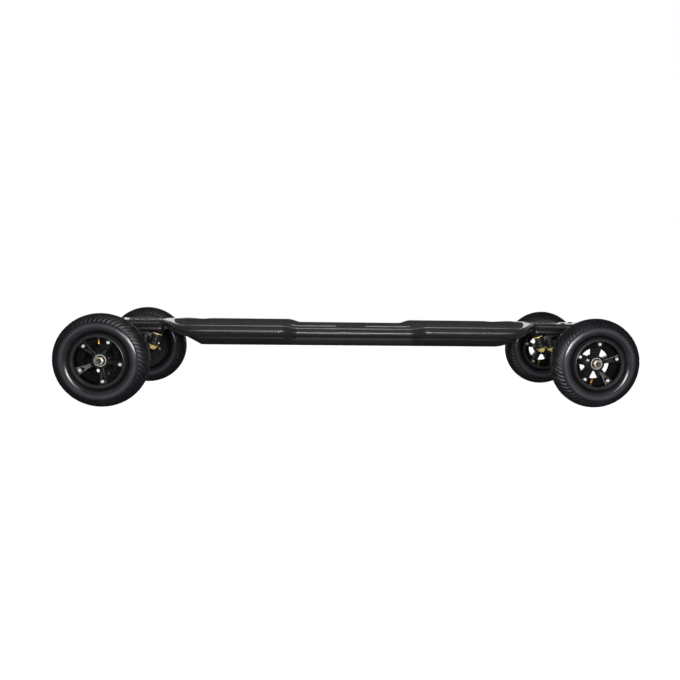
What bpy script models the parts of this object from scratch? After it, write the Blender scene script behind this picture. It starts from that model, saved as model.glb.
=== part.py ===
"""Electric all-terrain skateboard, built as an assembly of separate pieces.

Units are metres and +Z is up. +X points to the front of the board, +Y to the rider's left.
The origin lies on the floor under the middle of the board.
"""

import math

import bmesh
import bpy
from mathutils import Matrix, Vector

# ---------------------------------------------------------------- driving dimensions
WHEEL_RADIUS = 0.0875
WHEEL_HALF_WIDTH = 0.025
AXLE_X = 0.471                      # distance of each axle from the middle of the board
HALF_TRACK = 0.162                  # distance of each wheel's centre plane from the middle
GAP = 0.0003                        # clearance between pieces that touch on the real board

DECK_HALF_LENGTH = 0.555
WAIST_HALF_WIDTH = 0.122
WING_HALF_WIDTH = 0.145
NOSE_HALF_WIDTH = 0.045
WAIST_EDGE_TOP = 0.1455             # heights of the slightly hollow standing surface
WAIST_CENTRE_TOP = 0.1433
WING_EDGE_TOP = 0.1510
WING_CENTRE_TOP = 0.1462
NOSE_TOP = 0.1565
WING_START = (0.112, 0.142)         # along X, where the waist widens into a wing
WING_END = (0.285, 0.392)           # along X, where a wing narrows into the nose
EDGE_RISE = (0.325, 0.374)          # along X, where the edge and the middle climb to the nose
CENTRE_RISE = (0.328, 0.382)
RAIL_WIDTH = {"waist": 0.012, "wing": 0.015, "nose": 0.008}
RAIL_HEIGHT = {"waist": 0.0080, "wing": 0.0097, "nose": 0.0070}   # half the edge's thickness
BELLY_BOTTOM = 0.1125
BELLY_HALF_WIDTH = 0.100
BELLY_REAR_END = 0.300              # where the straight rear chamfer of the belly starts
BELLY_CHAMFER_SLOPE = 0.5
BELLY_FRONT_END = (0.285, 0.372)    # where the rounded front end of the belly rises

GRIP_THICKNESS = 0.0012
GRIP_LIFT = 0.0004
GRIP_TIP = (0.312, 0.374)           # along X, where the grip closes in a soft point
GRIP_TIP_HALF_WIDTH = 0.1285

CAVITY_X = (-0.275, 0.262)
CAVITY_HALF_WIDTH = 0.086
CAVITY_TOP = 0.1400
COVER_MARGIN = 0.009                # ledge that the gasket and the belly cover rest on
LEDGE_HEIGHT = 0.1166
COVER_THICKNESS = 0.0026
GASKET_THICKNESS = 0.0010
REAR_POCKET = ((-0.3190, -0.050, 0.1252), (-0.2710, 0.050, 0.1385))   # behind the ports
PORT_SETBACK = 0.0150               # distance of the ports behind the start of the chamfer
PORT_Y = 0.030
BUTTON_Y = -0.030
GLAND_Y = 0.0
PORT_RADIUS = 0.0080
BUTTON_RADIUS = 0.0070
GLAND_RADIUS = 0.0055

TRUCK_TILT = math.radians(20)       # lean of both kingpins, lower ends outboard
STACK_TOP = Vector((0.4090, 0, 0.1270))   # centre of the inner kingpin's upper washer face
KINGPIN_SPACING = 0.021
INNER_RING = (-0.0180, -0.0110)     # heights of the knuckle's ring, between the inner bushings
OUTER_RING = (-0.0263, -0.0203)     # heights of the hanger's ring, between the outer bushings
INNER_PIVOT = sum(INNER_RING) / 2
OUTER_PIVOT = sum(OUTER_RING) / 2
LUG_X = (0.0405, 0.0470)            # the lug of the knuckle that holds the hanger's pivot pin
SOCKET_X = (0.0495, 0.0580)         # the block of the baseplate that holds the knuckle's pin
RISER_THICKNESS = 0.0020
BASEPLATE_THICKNESS = 0.0050
BASEPLATE_X = (0.391, 0.497)
BASEPLATE_HALF_WIDTH = 0.030
AXLE_RADIUS = 0.005
AXLE_HALF_LENGTH = 0.1815
HANGER_BEAM_RADIUS = 0.0105
WASHER_RADIUS = 0.0090
BUSHING_RADIUS = 0.0084
BUSHING_BORE = 0.0056
KINGPIN_NUT_RADIUS = 0.0075

HUB_BORE = 0.0113
HUB_RADIUS = 0.0155
HUB_FACES = (0.0110, 0.0190)        # reach of the hub outboard and inboard of the wheel's middle
SPOKE_FACES = (0.0170, 0.0150)      # reach of the spokes' ends outboard and inboard of the middle
SPOKES = 5
RIM_WEB_BORE = 0.0325               # hole of the thin web where the two rim halves meet
RIM_WEB_THICKNESS = 0.0020
RIM_PHASE = {                       # turn of each wheel about its own outboard axis, degrees
    "front_right": 15.1,
    "rear_right": -9.2,
    "front_left": -21.5,
    "rear_left": 10.0,
}

BELT_PITCH = 0.005
GEAR_TEETH = 60
PULLEY_TEETH = 15
BELT_CENTRE = 0.120                 # distance of the belt's middle from the board's middle
BELT_HALF_WIDTH = 0.0075
BELT_THICKNESS = 0.0018
TOOTH_DEPTH = 0.0021
MOTOR_DISTANCE = 0.064
MOTOR_RISE = math.radians(12)
MOTOR_RADIUS = 0.0245
MOTOR_SPAN = (0.034, 0.0980)
MOUNT_SPAN = (0.0983, 0.1043)
MOUNT_END_RADII = (0.018, 0.022)    # round the hanger and round the motor
GEAR_HOLE = (0.0315, 0.0036)        # distance from the axle and radius of the gear's five holes
GEAR_HOLE_TURN = {"right": 25, "left": 48}   # from each spoke, degrees

ROUND_SEGMENTS = 14
TYRE_SEGMENTS = 28
RIM_SEGMENTS = 25

SIDES = {"left": 1, "right": -1}
ENDS = {"front": Matrix.Identity(4), "rear": Matrix.Rotation(math.pi, 4, "Z")}


# ---------------------------------------------------------------- modelling helpers
def clear_scene():
    for thing in list(bpy.data.objects):
        bpy.data.objects.remove(thing)


def make_material(name, colour, roughness, metallic):
    material = bpy.data.materials.new(name)
    material.use_nodes = True
    shader = material.node_tree.nodes["Principled BSDF"]
    shader.inputs["Base Color"].default_value = (*colour, 1)
    shader.inputs["Roughness"].default_value = roughness
    shader.inputs["Metallic"].default_value = metallic
    return material


def mesh_from(bm):
    bmesh.ops.recalc_face_normals(bm, faces=bm.faces)
    mesh = bpy.data.meshes.new("shape")
    bm.to_mesh(mesh)
    bm.free()
    return mesh


def loft(sections):
    """Skin a row of closed outlines that all have the same number of points, and cap both ends."""
    bm = bmesh.new()
    rings = [[bm.verts.new(point) for point in section] for section in sections]
    for ring, following in zip(rings, rings[1:]):
        for i in range(len(ring)):
            j = (i + 1) % len(ring)
            bm.faces.new((ring[i], ring[j], following[j], following[i]))
    bm.faces.new(rings[0])
    bm.faces.new(rings[-1])
    return mesh_from(bm)


def lathe(profile, segments=ROUND_SEGMENTS):
    """Turn a closed profile of (radius, height) points about Z. A radius of 0 makes a pole."""
    bm = bmesh.new()
    rings = []
    for radius, height in profile:
        if radius == 0:
            rings.append([bm.verts.new((0, 0, height))])
            continue
        angles = [math.tau * i / segments for i in range(segments)]
        rings.append([bm.verts.new((radius * math.cos(a), radius * math.sin(a), height)) for a in angles])
    for k in range(len(rings)):
        ring, following = rings[k], rings[(k + 1) % len(rings)]
        for i in range(segments):
            j = (i + 1) % segments
            corners = [ring[i % len(ring)], ring[j % len(ring)]]
            corners += [following[j % len(following)], following[i % len(following)]]
            unique = list(dict.fromkeys(corners))
            if len(unique) > 2:
                bm.faces.new(unique)
    return mesh_from(bm)


def prism(outline, low, high):
    """Extrude an outline of (x, y) points from one height to another."""
    return loft([[(x, y, z) for x, y in outline] for z in (low, high)])


def box(low, high):
    outline = [(low[0], low[1]), (high[0], low[1]), (high[0], high[1]), (low[0], high[1])]
    return prism(outline, low[2], high[2])


def circle(radius, segments=ROUND_SEGMENTS):
    angles = [math.tau * i / segments for i in range(segments)]
    return [(radius * math.cos(a), radius * math.sin(a)) for a in angles]


def cylinder(radius, low, high, segments=ROUND_SEGMENTS):
    return prism(circle(radius, segments), low, high)


def rounded_rectangle(half_x, half_y, corner, steps=4):
    centres = ((1, 1), (-1, 1), (-1, -1), (1, -1))
    outline = []
    for quarter, (sx, sy) in enumerate(centres):
        for step in range(steps + 1):
            angle = math.pi / 2 * (quarter + step / steps)
            x = sx * (half_x - corner) + corner * math.cos(angle)
            y = sy * (half_y - corner) + corner * math.sin(angle)
            outline.append((x, y))
    return outline


def moved(mesh, matrix):
    mesh.transform(matrix)
    return mesh


def shifted(mesh, x=0.0, y=0.0, z=0.0):
    return moved(mesh, Matrix.Translation((x, y, z)))


def combine(base, tools, operation):
    """Join the tools to the base, or cut them out of it, one after another."""
    collection = bpy.context.scene.collection
    body = bpy.data.objects.new("body", base)
    collection.objects.link(body)
    helpers = [body]
    for tool in tools:
        helper = bpy.data.objects.new("tool", tool)
        collection.objects.link(helper)
        helpers.append(helper)
        modifier = body.modifiers.new("boolean", "BOOLEAN")
        modifier.operation = operation
        modifier.solver = "EXACT"
        modifier.object = helper
    evaluated = body.evaluated_get(bpy.context.evaluated_depsgraph_get())
    result = bpy.data.meshes.new_from_object(evaluated)
    for helper in helpers:
        bpy.data.objects.remove(helper)
    return result


def united(base, *tools):
    return combine(base, tools, "UNION")


def cut(base, *tools):
    return combine(base, tools, "DIFFERENCE")


def add_piece(name, mesh, material, place=Matrix.Identity(4), sharp_degrees=32):
    """Put a named piece in the scene. Its origin is the place's own origin."""
    mesh = mesh.copy()
    mesh.name = name
    mesh.materials.clear()
    mesh.materials.append(material)
    mesh.shade_smooth()
    mesh.set_sharp_from_angle(angle=math.radians(sharp_degrees))
    piece = bpy.data.objects.new(name, mesh)
    piece.matrix_world = place
    bpy.context.scene.collection.objects.link(piece)
    return piece


def eased(value, span, low, high):
    """Go smoothly from low to high while value crosses the span."""
    share = min(max((value - span[0]) / (span[1] - span[0]), 0), 1)
    return low + (high - low) * share * share * (3 - 2 * share)


# ---------------------------------------------------------------- deck outline
def wing_share(x):
    """1 on the wings, 0 on the nose platform, with most of the narrowing close to the nose."""
    share = min(max((abs(x) - WING_END[0]) / (WING_END[1] - WING_END[0]), 0), 1)
    return 1 - eased(share ** 1.9, (0, 1), 0, 1)


def waist_wing_nose(x, waist, wing, nose):
    widened = eased(abs(x), WING_START, waist, wing)
    return nose + (widened - nose) * wing_share(x)


def deck_half_width(x):
    half = waist_wing_nose(x, WAIST_HALF_WIDTH, WING_HALF_WIDTH, NOSE_HALF_WIDTH)
    tip = min(max((abs(x) - 0.530) / (DECK_HALF_LENGTH - 0.530), 0), 0.97)
    return half * math.sqrt(1 - tip ** 3)


def rail_size(x):
    width = waist_wing_nose(x, RAIL_WIDTH["waist"], RAIL_WIDTH["wing"], RAIL_WIDTH["nose"])
    height = waist_wing_nose(x, RAIL_HEIGHT["waist"], RAIL_HEIGHT["wing"], RAIL_HEIGHT["nose"])
    return min(width, 0.5 * deck_half_width(x)), height


def edge_top(x):
    widened = eased(abs(x), WING_START, WAIST_EDGE_TOP, WING_EDGE_TOP)
    return eased(abs(x), EDGE_RISE, widened, NOSE_TOP)


def centre_top(x):
    widened = eased(abs(x), WING_START, WAIST_CENTRE_TOP, WING_CENTRE_TOP)
    return eased(abs(x), CENTRE_RISE, widened, NOSE_TOP)


def deck_top(x, y):
    """Height of the concave standing surface."""
    flat_half = deck_half_width(x) - rail_size(x)[0]
    return centre_top(x) + (edge_top(x) - centre_top(x)) * (y / flat_half) ** 2


def underside(x):
    return edge_top(x) - 2 * rail_size(x)[1]


def belly_bottom(x):
    if x < 0:
        rise = max(-x - BELLY_REAR_END, 0) * BELLY_CHAMFER_SLOPE
    else:
        rise = eased(x, BELLY_FRONT_END, 0, underside(x) - BELLY_BOTTOM)
    return min(BELLY_BOTTOM + rise, underside(x))


def deck_stations():
    """Places along X where the deck's outline is worked out, closest where it changes fastest."""
    runs = ((0, 0.112, 2), (0.112, 0.142, 4), (0.142, 0.280, 2), (0.280, 0.392, 11), (0.392, 0.530, 2))
    half = [start + (end - start) * i / count for start, end, count in runs for i in range(count)]
    half += [0.530, 0.542, 0.550, DECK_HALF_LENGTH]
    rear = [-x for x in half if x > 0]
    return sorted(rear + half + [-BELLY_REAR_END])


def deck_section(x):
    half = deck_half_width(x)
    rail_width, rail_height = rail_size(x)
    flat_half = half - rail_width
    belly_half = eased(abs(x), (0.285, 0.375), BELLY_HALF_WIDTH, 0.6 * flat_half)
    belly = belly_bottom(x)
    side = [(share * flat_half, deck_top(x, share * flat_half)) for share in (0.5, 0.8)]
    for degrees in (90, 45, 0, -45, -90):
        angle = math.radians(degrees)
        y = flat_half + rail_width * math.cos(angle)
        side.append((y, edge_top(x) - rail_height + rail_height * math.sin(angle)))
    rise = min(0.003, 0.5 * (underside(x) - belly))
    side += [(belly_half + 0.002, belly + rise), (belly_half - 0.003, belly)]
    section = [(x, 0, centre_top(x))]
    section += [(x, y, z) for y, z in side]
    section += [(x, 0, belly)]
    section += [(x, -y, z) for y, z in reversed(side)]
    return section


# ---------------------------------------------------------------- deck and what it holds
def port_place(y):
    """A spot on the rear chamfer of the belly, with +Z pointing out of the deck."""
    x = -BELLY_REAR_END - PORT_SETBACK
    lean = math.pi - math.atan(BELLY_CHAMFER_SLOPE)
    spot = Matrix.Translation((x, y, belly_bottom(x)))
    return spot @ Matrix.Rotation(-lean, 4, "Y")


def build_deck(materials):
    shell = loft([deck_section(x) for x in deck_stations()])
    cavity = box((CAVITY_X[0], -CAVITY_HALF_WIDTH, BELLY_BOTTOM - 0.01),
                 (CAVITY_X[1], CAVITY_HALF_WIDTH, CAVITY_TOP))
    recess = box((CAVITY_X[0] - COVER_MARGIN, -CAVITY_HALF_WIDTH - COVER_MARGIN, BELLY_BOTTOM - 0.01),
                 (CAVITY_X[1] + COVER_MARGIN, CAVITY_HALF_WIDTH + COVER_MARGIN, LEDGE_HEIGHT))
    cutters = [cavity, recess, box(*REAR_POCKET)]
    for y, radius in ((PORT_Y, PORT_RADIUS), (BUTTON_Y, BUTTON_RADIUS), (GLAND_Y, GLAND_RADIUS)):
        hole = cylinder(radius + GAP, -0.0120, 0.006)
        cutters.append(moved(hole, port_place(y)))
    add_piece("deck_shell", cut(shell, *cutters), materials["carbon"])


def grip_half_width(x):
    """The grip follows the rails, then closes in a soft point on each wing's end."""
    on_deck = deck_half_width(x) - rail_size(x)[0] - 0.0015
    share = min(max((abs(x) - GRIP_TIP[0]) / (GRIP_TIP[1] - GRIP_TIP[0]), 0), 1)
    tip = GRIP_TIP_HALF_WIDTH * (1 - share ** 1.6) ** 0.9
    return max(min(on_deck, tip), 0.0030)


def build_grip(materials):
    stations = [x for x in deck_stations() if abs(x) < GRIP_TIP[1]]
    stations = [-GRIP_TIP[1]] + stations + [GRIP_TIP[1]]
    sections = []
    for x in stations:
        half = grip_half_width(x)
        spots = [share * half for share in (-1, -0.5, 0, 0.5, 1)]
        lower = [(x, y, deck_top(x, y) + GRIP_LIFT) for y in spots]
        upper = [(x, y, z + GRIP_THICKNESS) for x, y, z in reversed(lower)]
        sections.append(lower + upper)
    add_piece("grip_tape", loft(sections), materials["grip"])


def build_belly(materials):
    middle = sum(CAVITY_X) / 2
    half_x = (CAVITY_X[1] - CAVITY_X[0]) / 2
    recess_half = (half_x + COVER_MARGIN - GAP, CAVITY_HALF_WIDTH + COVER_MARGIN - GAP)
    cover = prism(rounded_rectangle(*recess_half, 0.001, 1), BELLY_BOTTOM, BELLY_BOTTOM + COVER_THICKNESS)
    add_piece("belly_cover", shifted(cover, x=middle), materials["cover"])

    gasket_low = BELLY_BOTTOM + COVER_THICKNESS + GAP
    outer = prism(rounded_rectangle(recess_half[0] - 0.001, recess_half[1] - 0.001, 0.001, 1),
                  gasket_low, gasket_low + GASKET_THICKNESS)
    inner = prism(rounded_rectangle(half_x + 0.001, CAVITY_HALF_WIDTH + 0.001, 0.003, 2),
                  gasket_low - 0.01, gasket_low + 0.01)
    add_piece("cover_gasket", shifted(cut(outer, inner), x=middle), materials["rubber"])

    floor = LEDGE_HEIGHT + 0.0002
    roof = CAVITY_TOP - 0.0010
    battery = prism(rounded_rectangle(0.157, 0.080, 0.004, 2), floor, roof)
    add_piece("battery_pack", battery, materials["battery"], Matrix.Translation((-0.105, 0, 0)))
    controller = box((-0.060, -0.070, floor), (0.060, 0.070, roof))
    channels = [box((-0.050, y - 0.0025, roof - 0.004), (0.050, y + 0.0025, roof + 0.01))
                for y in (-0.054, -0.036, -0.018, 0, 0.018, 0.036, 0.054)]
    add_piece("motor_controller", cut(controller, *channels), materials["bare_alloy"],
              Matrix.Translation((0.128, 0, 0)))
    board = box((-0.026, -0.065, floor + 0.004), (0.026, 0.065, floor + 0.0056))
    add_piece("battery_management_board", board, materials["circuit_board"],
              Matrix.Translation((0.226, 0, 0)))


def build_ports(materials):
    flange = 0.0100
    socket = lathe([(0.0045, 0.0016), (flange, 0.0016), (flange, GAP), (PORT_RADIUS, GAP),
                    (PORT_RADIUS, -0.0105), (0, -0.0105), (0, -0.0080), (0.0045, -0.0080)])
    add_piece("charge_port", socket, materials["plastic"], port_place(PORT_Y))

    hinge_height = 0.0016 + GAP + 0.0010
    hinge = port_place(PORT_Y) @ Matrix.Translation((0, flange + 0.001, hinge_height))
    lid = cylinder(flange, -0.0010, 0.0010)
    knuckle = box((-0.004, 0, -0.0010), (0.004, flange + 0.002, 0.0010))
    lid = shifted(united(lid, knuckle), y=-(flange + 0.001))
    add_piece("charge_port_cap", lid, materials["rubber"], hinge)

    button = lathe([(0, 0.0024), (0.0050, 0.0024), (0.0062, 0.0015), (0.0062, -0.0040), (0, -0.0040)])
    add_piece("power_button", button, materials["bare_alloy"], port_place(BUTTON_Y))

    gland = lathe([(0, 0.0040), (0.0042, 0.0040), (0.0075, 0.0020), (0.0075, GAP),
                   (GLAND_RADIUS, GAP), (GLAND_RADIUS, -0.0055), (0, -0.0055)])
    add_piece("motor_cable_gland", gland, materials["rubber"], port_place(GLAND_Y))


# ---------------------------------------------------------------- trucks
# A truck is worked out in its own frame: x runs outboard along the steering axes, z runs up
# along the kingpins, and the origin is the centre of the inner kingpin's upper washer face.

def truck_place(end):
    tilt = Matrix.Rotation(-TRUCK_TILT, 4, "Y")
    return ENDS[end] @ Matrix.Translation(STACK_TOP) @ tilt


def to_truck(point):
    """Turn a point of the upright front truck into the tilted frame."""
    return truck_place("front").inverted() @ Vector(point)


def along_x(mesh):
    """Lay a turned shape down so that its own axis runs along X."""
    return moved(mesh, Matrix.Rotation(math.pi / 2, 4, "Y"))


def along_y(mesh):
    return moved(mesh, Matrix.Rotation(-math.pi / 2, 4, "X"))


def side_plate(outline, half_width):
    """Extrude an outline of (x, z) points to both sides of the middle plane."""
    plate = prism([(x, -z) for x, z in outline], -half_width, half_width)
    return moved(plate, Matrix.Rotation(-math.pi / 2, 4, "X"))


def build_baseplate(end, materials):
    """The plate under the nose, its slanted boss for the kingpin and its pivot socket."""
    top = edge_top(DECK_HALF_LENGTH) - 2 * RAIL_HEIGHT["nose"] - RISER_THICKNESS - 2 * GAP
    middle = sum(BASEPLATE_X) / 2
    half_x = (BASEPLATE_X[1] - BASEPLATE_X[0]) / 2
    outline = rounded_rectangle(half_x, BASEPLATE_HALF_WIDTH, 0.008, 3)
    plate = shifted(prism(outline, top - BASEPLATE_THICKNESS, top + 0.002), x=middle)
    riser = shifted(prism(outline, top + GAP, top + GAP + RISER_THICKNESS), x=middle)
    tilted = truck_place("front")
    boss = moved(cylinder(0.0110, 0.0004, 0.0220), tilted)
    block = moved(box((SOCKET_X[0], -0.0090, -0.0225), (SOCKET_X[1], 0.0090, -0.0080)), tilted)
    above = box((BASEPLATE_X[0] - 0.02, -0.05, top), (BASEPLATE_X[1] + 0.02, 0.05, top + 0.03))
    bore = moved(cylinder(0.0052, -0.01, 0.02), tilted)
    head_recess = moved(cylinder(0.0070, 0.0046, 0.03), tilted)
    socket = along_x(cylinder(0.0048, SOCKET_X[0] - 0.002, SOCKET_X[1] - 0.0012))
    socket = moved(shifted(socket, z=INNER_PIVOT), tilted)
    base = cut(united(plate, boss, block), above, bore, head_recess, socket)
    add_piece(f"{end}_riser_pad", riser, materials["rubber"], ENDS[end])
    add_piece(f"{end}_baseplate", base, materials["black_alloy"], ENDS[end])


def kingpin_profile(shaft, head, head_span, washers, nut_span):
    """A bolt from its head down, with its two cup washers and its nut."""
    profile = [(0, head_span[1]), (head, head_span[1]), (head, head_span[0]), (shaft, head_span[0])]
    for top, bottom in washers:
        profile += [(shaft, top), (WASHER_RADIUS, top), (WASHER_RADIUS, bottom), (shaft, bottom)]
    del profile[-1]
    profile += [(KINGPIN_NUT_RADIUS, nut_span[0]), (KINGPIN_NUT_RADIUS, nut_span[1]), (shaft, nut_span[1])]
    profile += [(shaft, nut_span[1] - 0.0022), (0, nut_span[1] - 0.0022)]
    return profile


def bushing_mesh(low, high):
    return lathe([(BUSHING_BORE, low), (BUSHING_RADIUS, low), (BUSHING_RADIUS, high), (BUSHING_BORE, high)])


def build_kingpins(end, materials):
    place = truck_place(end)
    inner = kingpin_profile(0.0048, 0.0062, (0.0049, 0.0108), ((0, -0.0016), (-0.0274, -0.0290)),
                            (-0.0290, -0.0355))
    outer = kingpin_profile(0.0040, 0.0058, (-0.0072, -0.0044), ((-0.0116, -0.0130), (-0.0336, -0.0350)),
                            (-0.0350, -0.0410))
    outer_place = place @ Matrix.Translation((KINGPIN_SPACING, 0, 0))
    add_piece(f"{end}_inner_kingpin", lathe(inner, 10), materials["gold"], place)
    add_piece(f"{end}_outer_kingpin", lathe(outer, 10), materials["gold"], outer_place)
    spans = {
        "inner_upper": (INNER_RING[1] + GAP, -0.0016 - GAP, place),
        "inner_lower": (-0.0274 + GAP, INNER_RING[0] - GAP, place),
        "outer_upper": (OUTER_RING[1] + GAP, -0.0130 - GAP, outer_place),
        "outer_lower": (-0.0336 + GAP, OUTER_RING[0] - GAP, outer_place),
    }
    for name, (low, high, spot) in spans.items():
        add_piece(f"{end}_{name}_bushing", bushing_mesh(low, high), materials["rubber"], spot)


def build_knuckle(end, materials):
    """The middle link: a ring on the inner kingpin, an arm over the outer one, and both pivots."""
    outline = [
        (0.0080, INNER_RING[1]), (0.0094, INNER_RING[1]), (0.0094, -0.0055), (0.0110, -0.0040),
        (0.0240, -0.0040), (LUG_X[1], -0.0118), (LUG_X[1], -0.0300), (LUG_X[0], -0.0300),
        (LUG_X[0], -0.0113), (0.0119, -0.0113), (0.0119, -0.0165), (0.0102, INNER_RING[0]),
        (0.0080, INNER_RING[0]),
    ]
    body = side_plate(outline, 0.0090)
    ring = cylinder(0.0102, *INNER_RING)
    pin = shifted(along_x(cylinder(0.0042, LUG_X[1] - 0.003, SOCKET_X[1] - 0.0022)), z=INNER_PIVOT)
    inner_hole = cylinder(0.0063, INNER_RING[0] - 0.01, 0.0)
    outer_hole = shifted(cylinder(0.0043, -0.03, 0.01), x=KINGPIN_SPACING)
    head_recess = shifted(cylinder(0.0062, -0.0075, 0.01), x=KINGPIN_SPACING)
    socket = along_x(cylinder(0.0045, LUG_X[0] - 0.004, LUG_X[1] - 0.0012))
    socket = shifted(socket, z=OUTER_PIVOT)
    knuckle = cut(united(body, ring, pin), inner_hole, outer_hole, head_recess, socket)
    pivot = Vector((0, 0, INNER_PIVOT))
    place = truck_place(end) @ Matrix.Translation(pivot)
    add_piece(f"{end}_knuckle", shifted(knuckle, z=-INNER_PIVOT), materials["black_alloy"], place)


def build_hanger(end, materials):
    """The cross beam that carries the axle, with its ring on the outer kingpin."""
    axle = to_truck((AXLE_X, 0, WHEEL_RADIUS))
    half = [(0.0135, 0.0200), (HANGER_BEAM_RADIUS, 0.0600), (HANGER_BEAM_RADIUS, 0.1063),
            (0.0085, 0.1063), (0.0085, 0.1405), (0, 0.1405)]
    beam_profile = [(r, -y) for r, y in reversed(half)] + half
    beam = shifted(along_y(lathe(beam_profile)), x=axle.x, z=axle.z)
    neck_outline = [
        (0.0250, OUTER_RING[1]), (0.0375, OUTER_RING[1]), (0.0375, -0.0310), (0.0500, -0.0470),
        (0.0500, -0.0560), (0.0370, -0.0560), (0.0310, -0.0400), (0.0310, OUTER_RING[0]),
        (0.0250, OUTER_RING[0]),
    ]
    neck = side_plate(neck_outline, 0.0110)
    ring = shifted(cylinder(0.0103, *OUTER_RING), x=KINGPIN_SPACING)
    pin = shifted(along_x(cylinder(0.0040, 0.0355, LUG_X[1] - 0.0020)), z=OUTER_PIVOT)
    hole = shifted(cylinder(0.0058, -0.05, -0.01), x=KINGPIN_SPACING)
    axle_hole = shifted(along_y(cylinder(AXLE_RADIUS + GAP, -0.16, 0.16)), x=axle.x, z=axle.z)
    hanger = cut(united(beam, neck, ring, pin), hole, axle_hole)
    pivot = Vector((KINGPIN_SPACING, 0, OUTER_PIVOT))
    place = truck_place(end) @ Matrix.Translation(pivot)
    add_piece(f"{end}_hanger", moved(hanger, Matrix.Translation(-pivot)), materials["black_alloy"], place)

    chamfer = 0.001
    axle_profile = [(0, -AXLE_HALF_LENGTH), (AXLE_RADIUS - chamfer, -AXLE_HALF_LENGTH),
                    (AXLE_RADIUS, -AXLE_HALF_LENGTH + chamfer), (AXLE_RADIUS, AXLE_HALF_LENGTH - chamfer),
                    (AXLE_RADIUS - chamfer, AXLE_HALF_LENGTH), (0, AXLE_HALF_LENGTH)]
    place = ENDS[end] @ Matrix.Translation((AXLE_X, 0, WHEEL_RADIUS))
    add_piece(f"{end}_axle", along_y(lathe(axle_profile, 16)), materials["steel"], place)


# ---------------------------------------------------------------- wheels
# A wheel is worked out about Z with its outboard side up, then laid over to its side.
def wheel_place(end, side):
    sign = SIDES[side]
    x = AXLE_X if end == "front" else -AXLE_X
    spot = Matrix.Translation((x, sign * HALF_TRACK, WHEEL_RADIUS))
    return spot @ Matrix.Rotation(-sign * math.pi / 2, 4, "X")


def tyre_mesh():
    """A hollow casing, open towards the rim."""
    outer = [(0.0476, 0.0203), (0.0640, WHEEL_HALF_WIDTH), (0.0790, 0.0210), (0.0852, 0.0128)]
    inner = [(0.0780, 0.0120), (0.0476, 0.0160)]
    upper = outer + [(WHEEL_RADIUS, 0.0)] + [(r, -z) for r, z in reversed(outer)]
    return lathe(upper + [(r, -z) for r, z in reversed(inner)] + inner, TYRE_SEGMENTS)


def spoke_mesh(angle, hub_height, rim_height):
    """A spoke that widens from the hub to the barrel."""
    sections = []
    for radius, half, height in ((0.0142, 0.0038, hub_height), (0.0455, 0.0075, rim_height)):
        outline = [(-half, GAP), (half, GAP), (half, height), (-half, height)]
        sections.append([(radius, y, z) for y, z in outline])
    return moved(loft(sections), Matrix.Rotation(angle, 4, "Z"))


def rim_half_mesh(hub_height, rim_height):
    """Half of a split rim: barrel with its bead flange and thin web, hub, and five spokes."""
    barrel = lathe([(RIM_WEB_BORE, 0), (0.0472, 0), (0.0472, 0.0212), (0.0505, 0.0222), (0.0505, 0.0238),
                    (0.0468, 0.0238), (0.0440, RIM_WEB_THICKNESS), (RIM_WEB_BORE, RIM_WEB_THICKNESS)],
                   RIM_SEGMENTS)
    hub = lathe([(HUB_BORE, 0), (HUB_RADIUS, 0), (HUB_RADIUS, hub_height), (HUB_BORE, hub_height)], 15)
    spokes = [spoke_mesh(math.tau * i / SPOKES, hub_height - 0.0005, rim_height) for i in range(SPOKES)]
    return united(barrel, hub, *spokes)


def axle_nut_mesh():
    seat = HUB_FACES[0] + 0.0002
    nut = cylinder(0.0075, seat, seat + 0.0074, 6)
    return cut(nut, cylinder(AXLE_RADIUS + GAP, 0, 0.03, 12))


def build_wheels(materials):
    tyre = tyre_mesh()
    outer = rim_half_mesh(HUB_FACES[0], SPOKE_FACES[0])
    inner = moved(rim_half_mesh(HUB_FACES[1], SPOKE_FACES[1]), Matrix.Rotation(math.pi, 4, "X"))
    nut = axle_nut_mesh()
    for end in ENDS:
        for side in SIDES:
            wheel = f"{end}_{side}"
            place = wheel_place(end, side)
            phase = Matrix.Rotation(math.radians(RIM_PHASE[wheel]), 4, "Z")
            add_piece(f"{wheel}_tyre", tyre, materials["tyre"], place)
            add_piece(f"{wheel}_rim_outer", outer, materials["black_alloy"], place @ phase)
            add_piece(f"{wheel}_rim_inner", inner, materials["black_alloy"], place @ phase)
            add_piece(f"{wheel}_axle_nut", nut, materials["gold"], place)


# ---------------------------------------------------------------- rear belt drives
def pitch_radius(teeth):
    return teeth * BELT_PITCH / math.tau


def toothed_outline(teeth):
    """Flat-topped teeth, with their tips a little under the belt's pitch line."""
    tip = pitch_radius(teeth) - 0.0005
    outline = []
    for i in range(teeth):
        for share, radius in ((-0.28, tip), (0.28, tip), (0.50, tip - TOOTH_DEPTH)):
            angle = math.tau * (i + share) / teeth
            outline.append((radius * math.cos(angle), radius * math.sin(angle)))
    return outline


def taut_outline(axle_radius, motor_radius, axle_steps, motor_steps):
    """The line drawn tight round a circle at the axle and a circle at the motor."""
    wrap = math.acos((axle_radius - motor_radius) / MOTOR_DISTANCE)
    outline = []
    for i in range(axle_steps + 1):
        angle = wrap + (math.tau - 2 * wrap) * i / axle_steps
        outline.append((axle_radius * math.cos(angle), axle_radius * math.sin(angle)))
    for i in range(motor_steps + 1):
        angle = -wrap + 2 * wrap * i / motor_steps
        outline.append((MOTOR_DISTANCE + motor_radius * math.cos(angle), motor_radius * math.sin(angle)))
    return outline


def belt_outline(grow):
    """The belt's path, grown outwards from the pitch circles of the gear and the pulley."""
    return taut_outline(pitch_radius(GEAR_TEETH) + grow, pitch_radius(PULLEY_TEETH) + grow, 30, 10)


def at_angle(mesh, distance, degrees):
    """Carry a shape out along X and then round the axis."""
    return moved(shifted(mesh, x=distance), Matrix.Rotation(math.radians(degrees), 4, "Z"))


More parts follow.
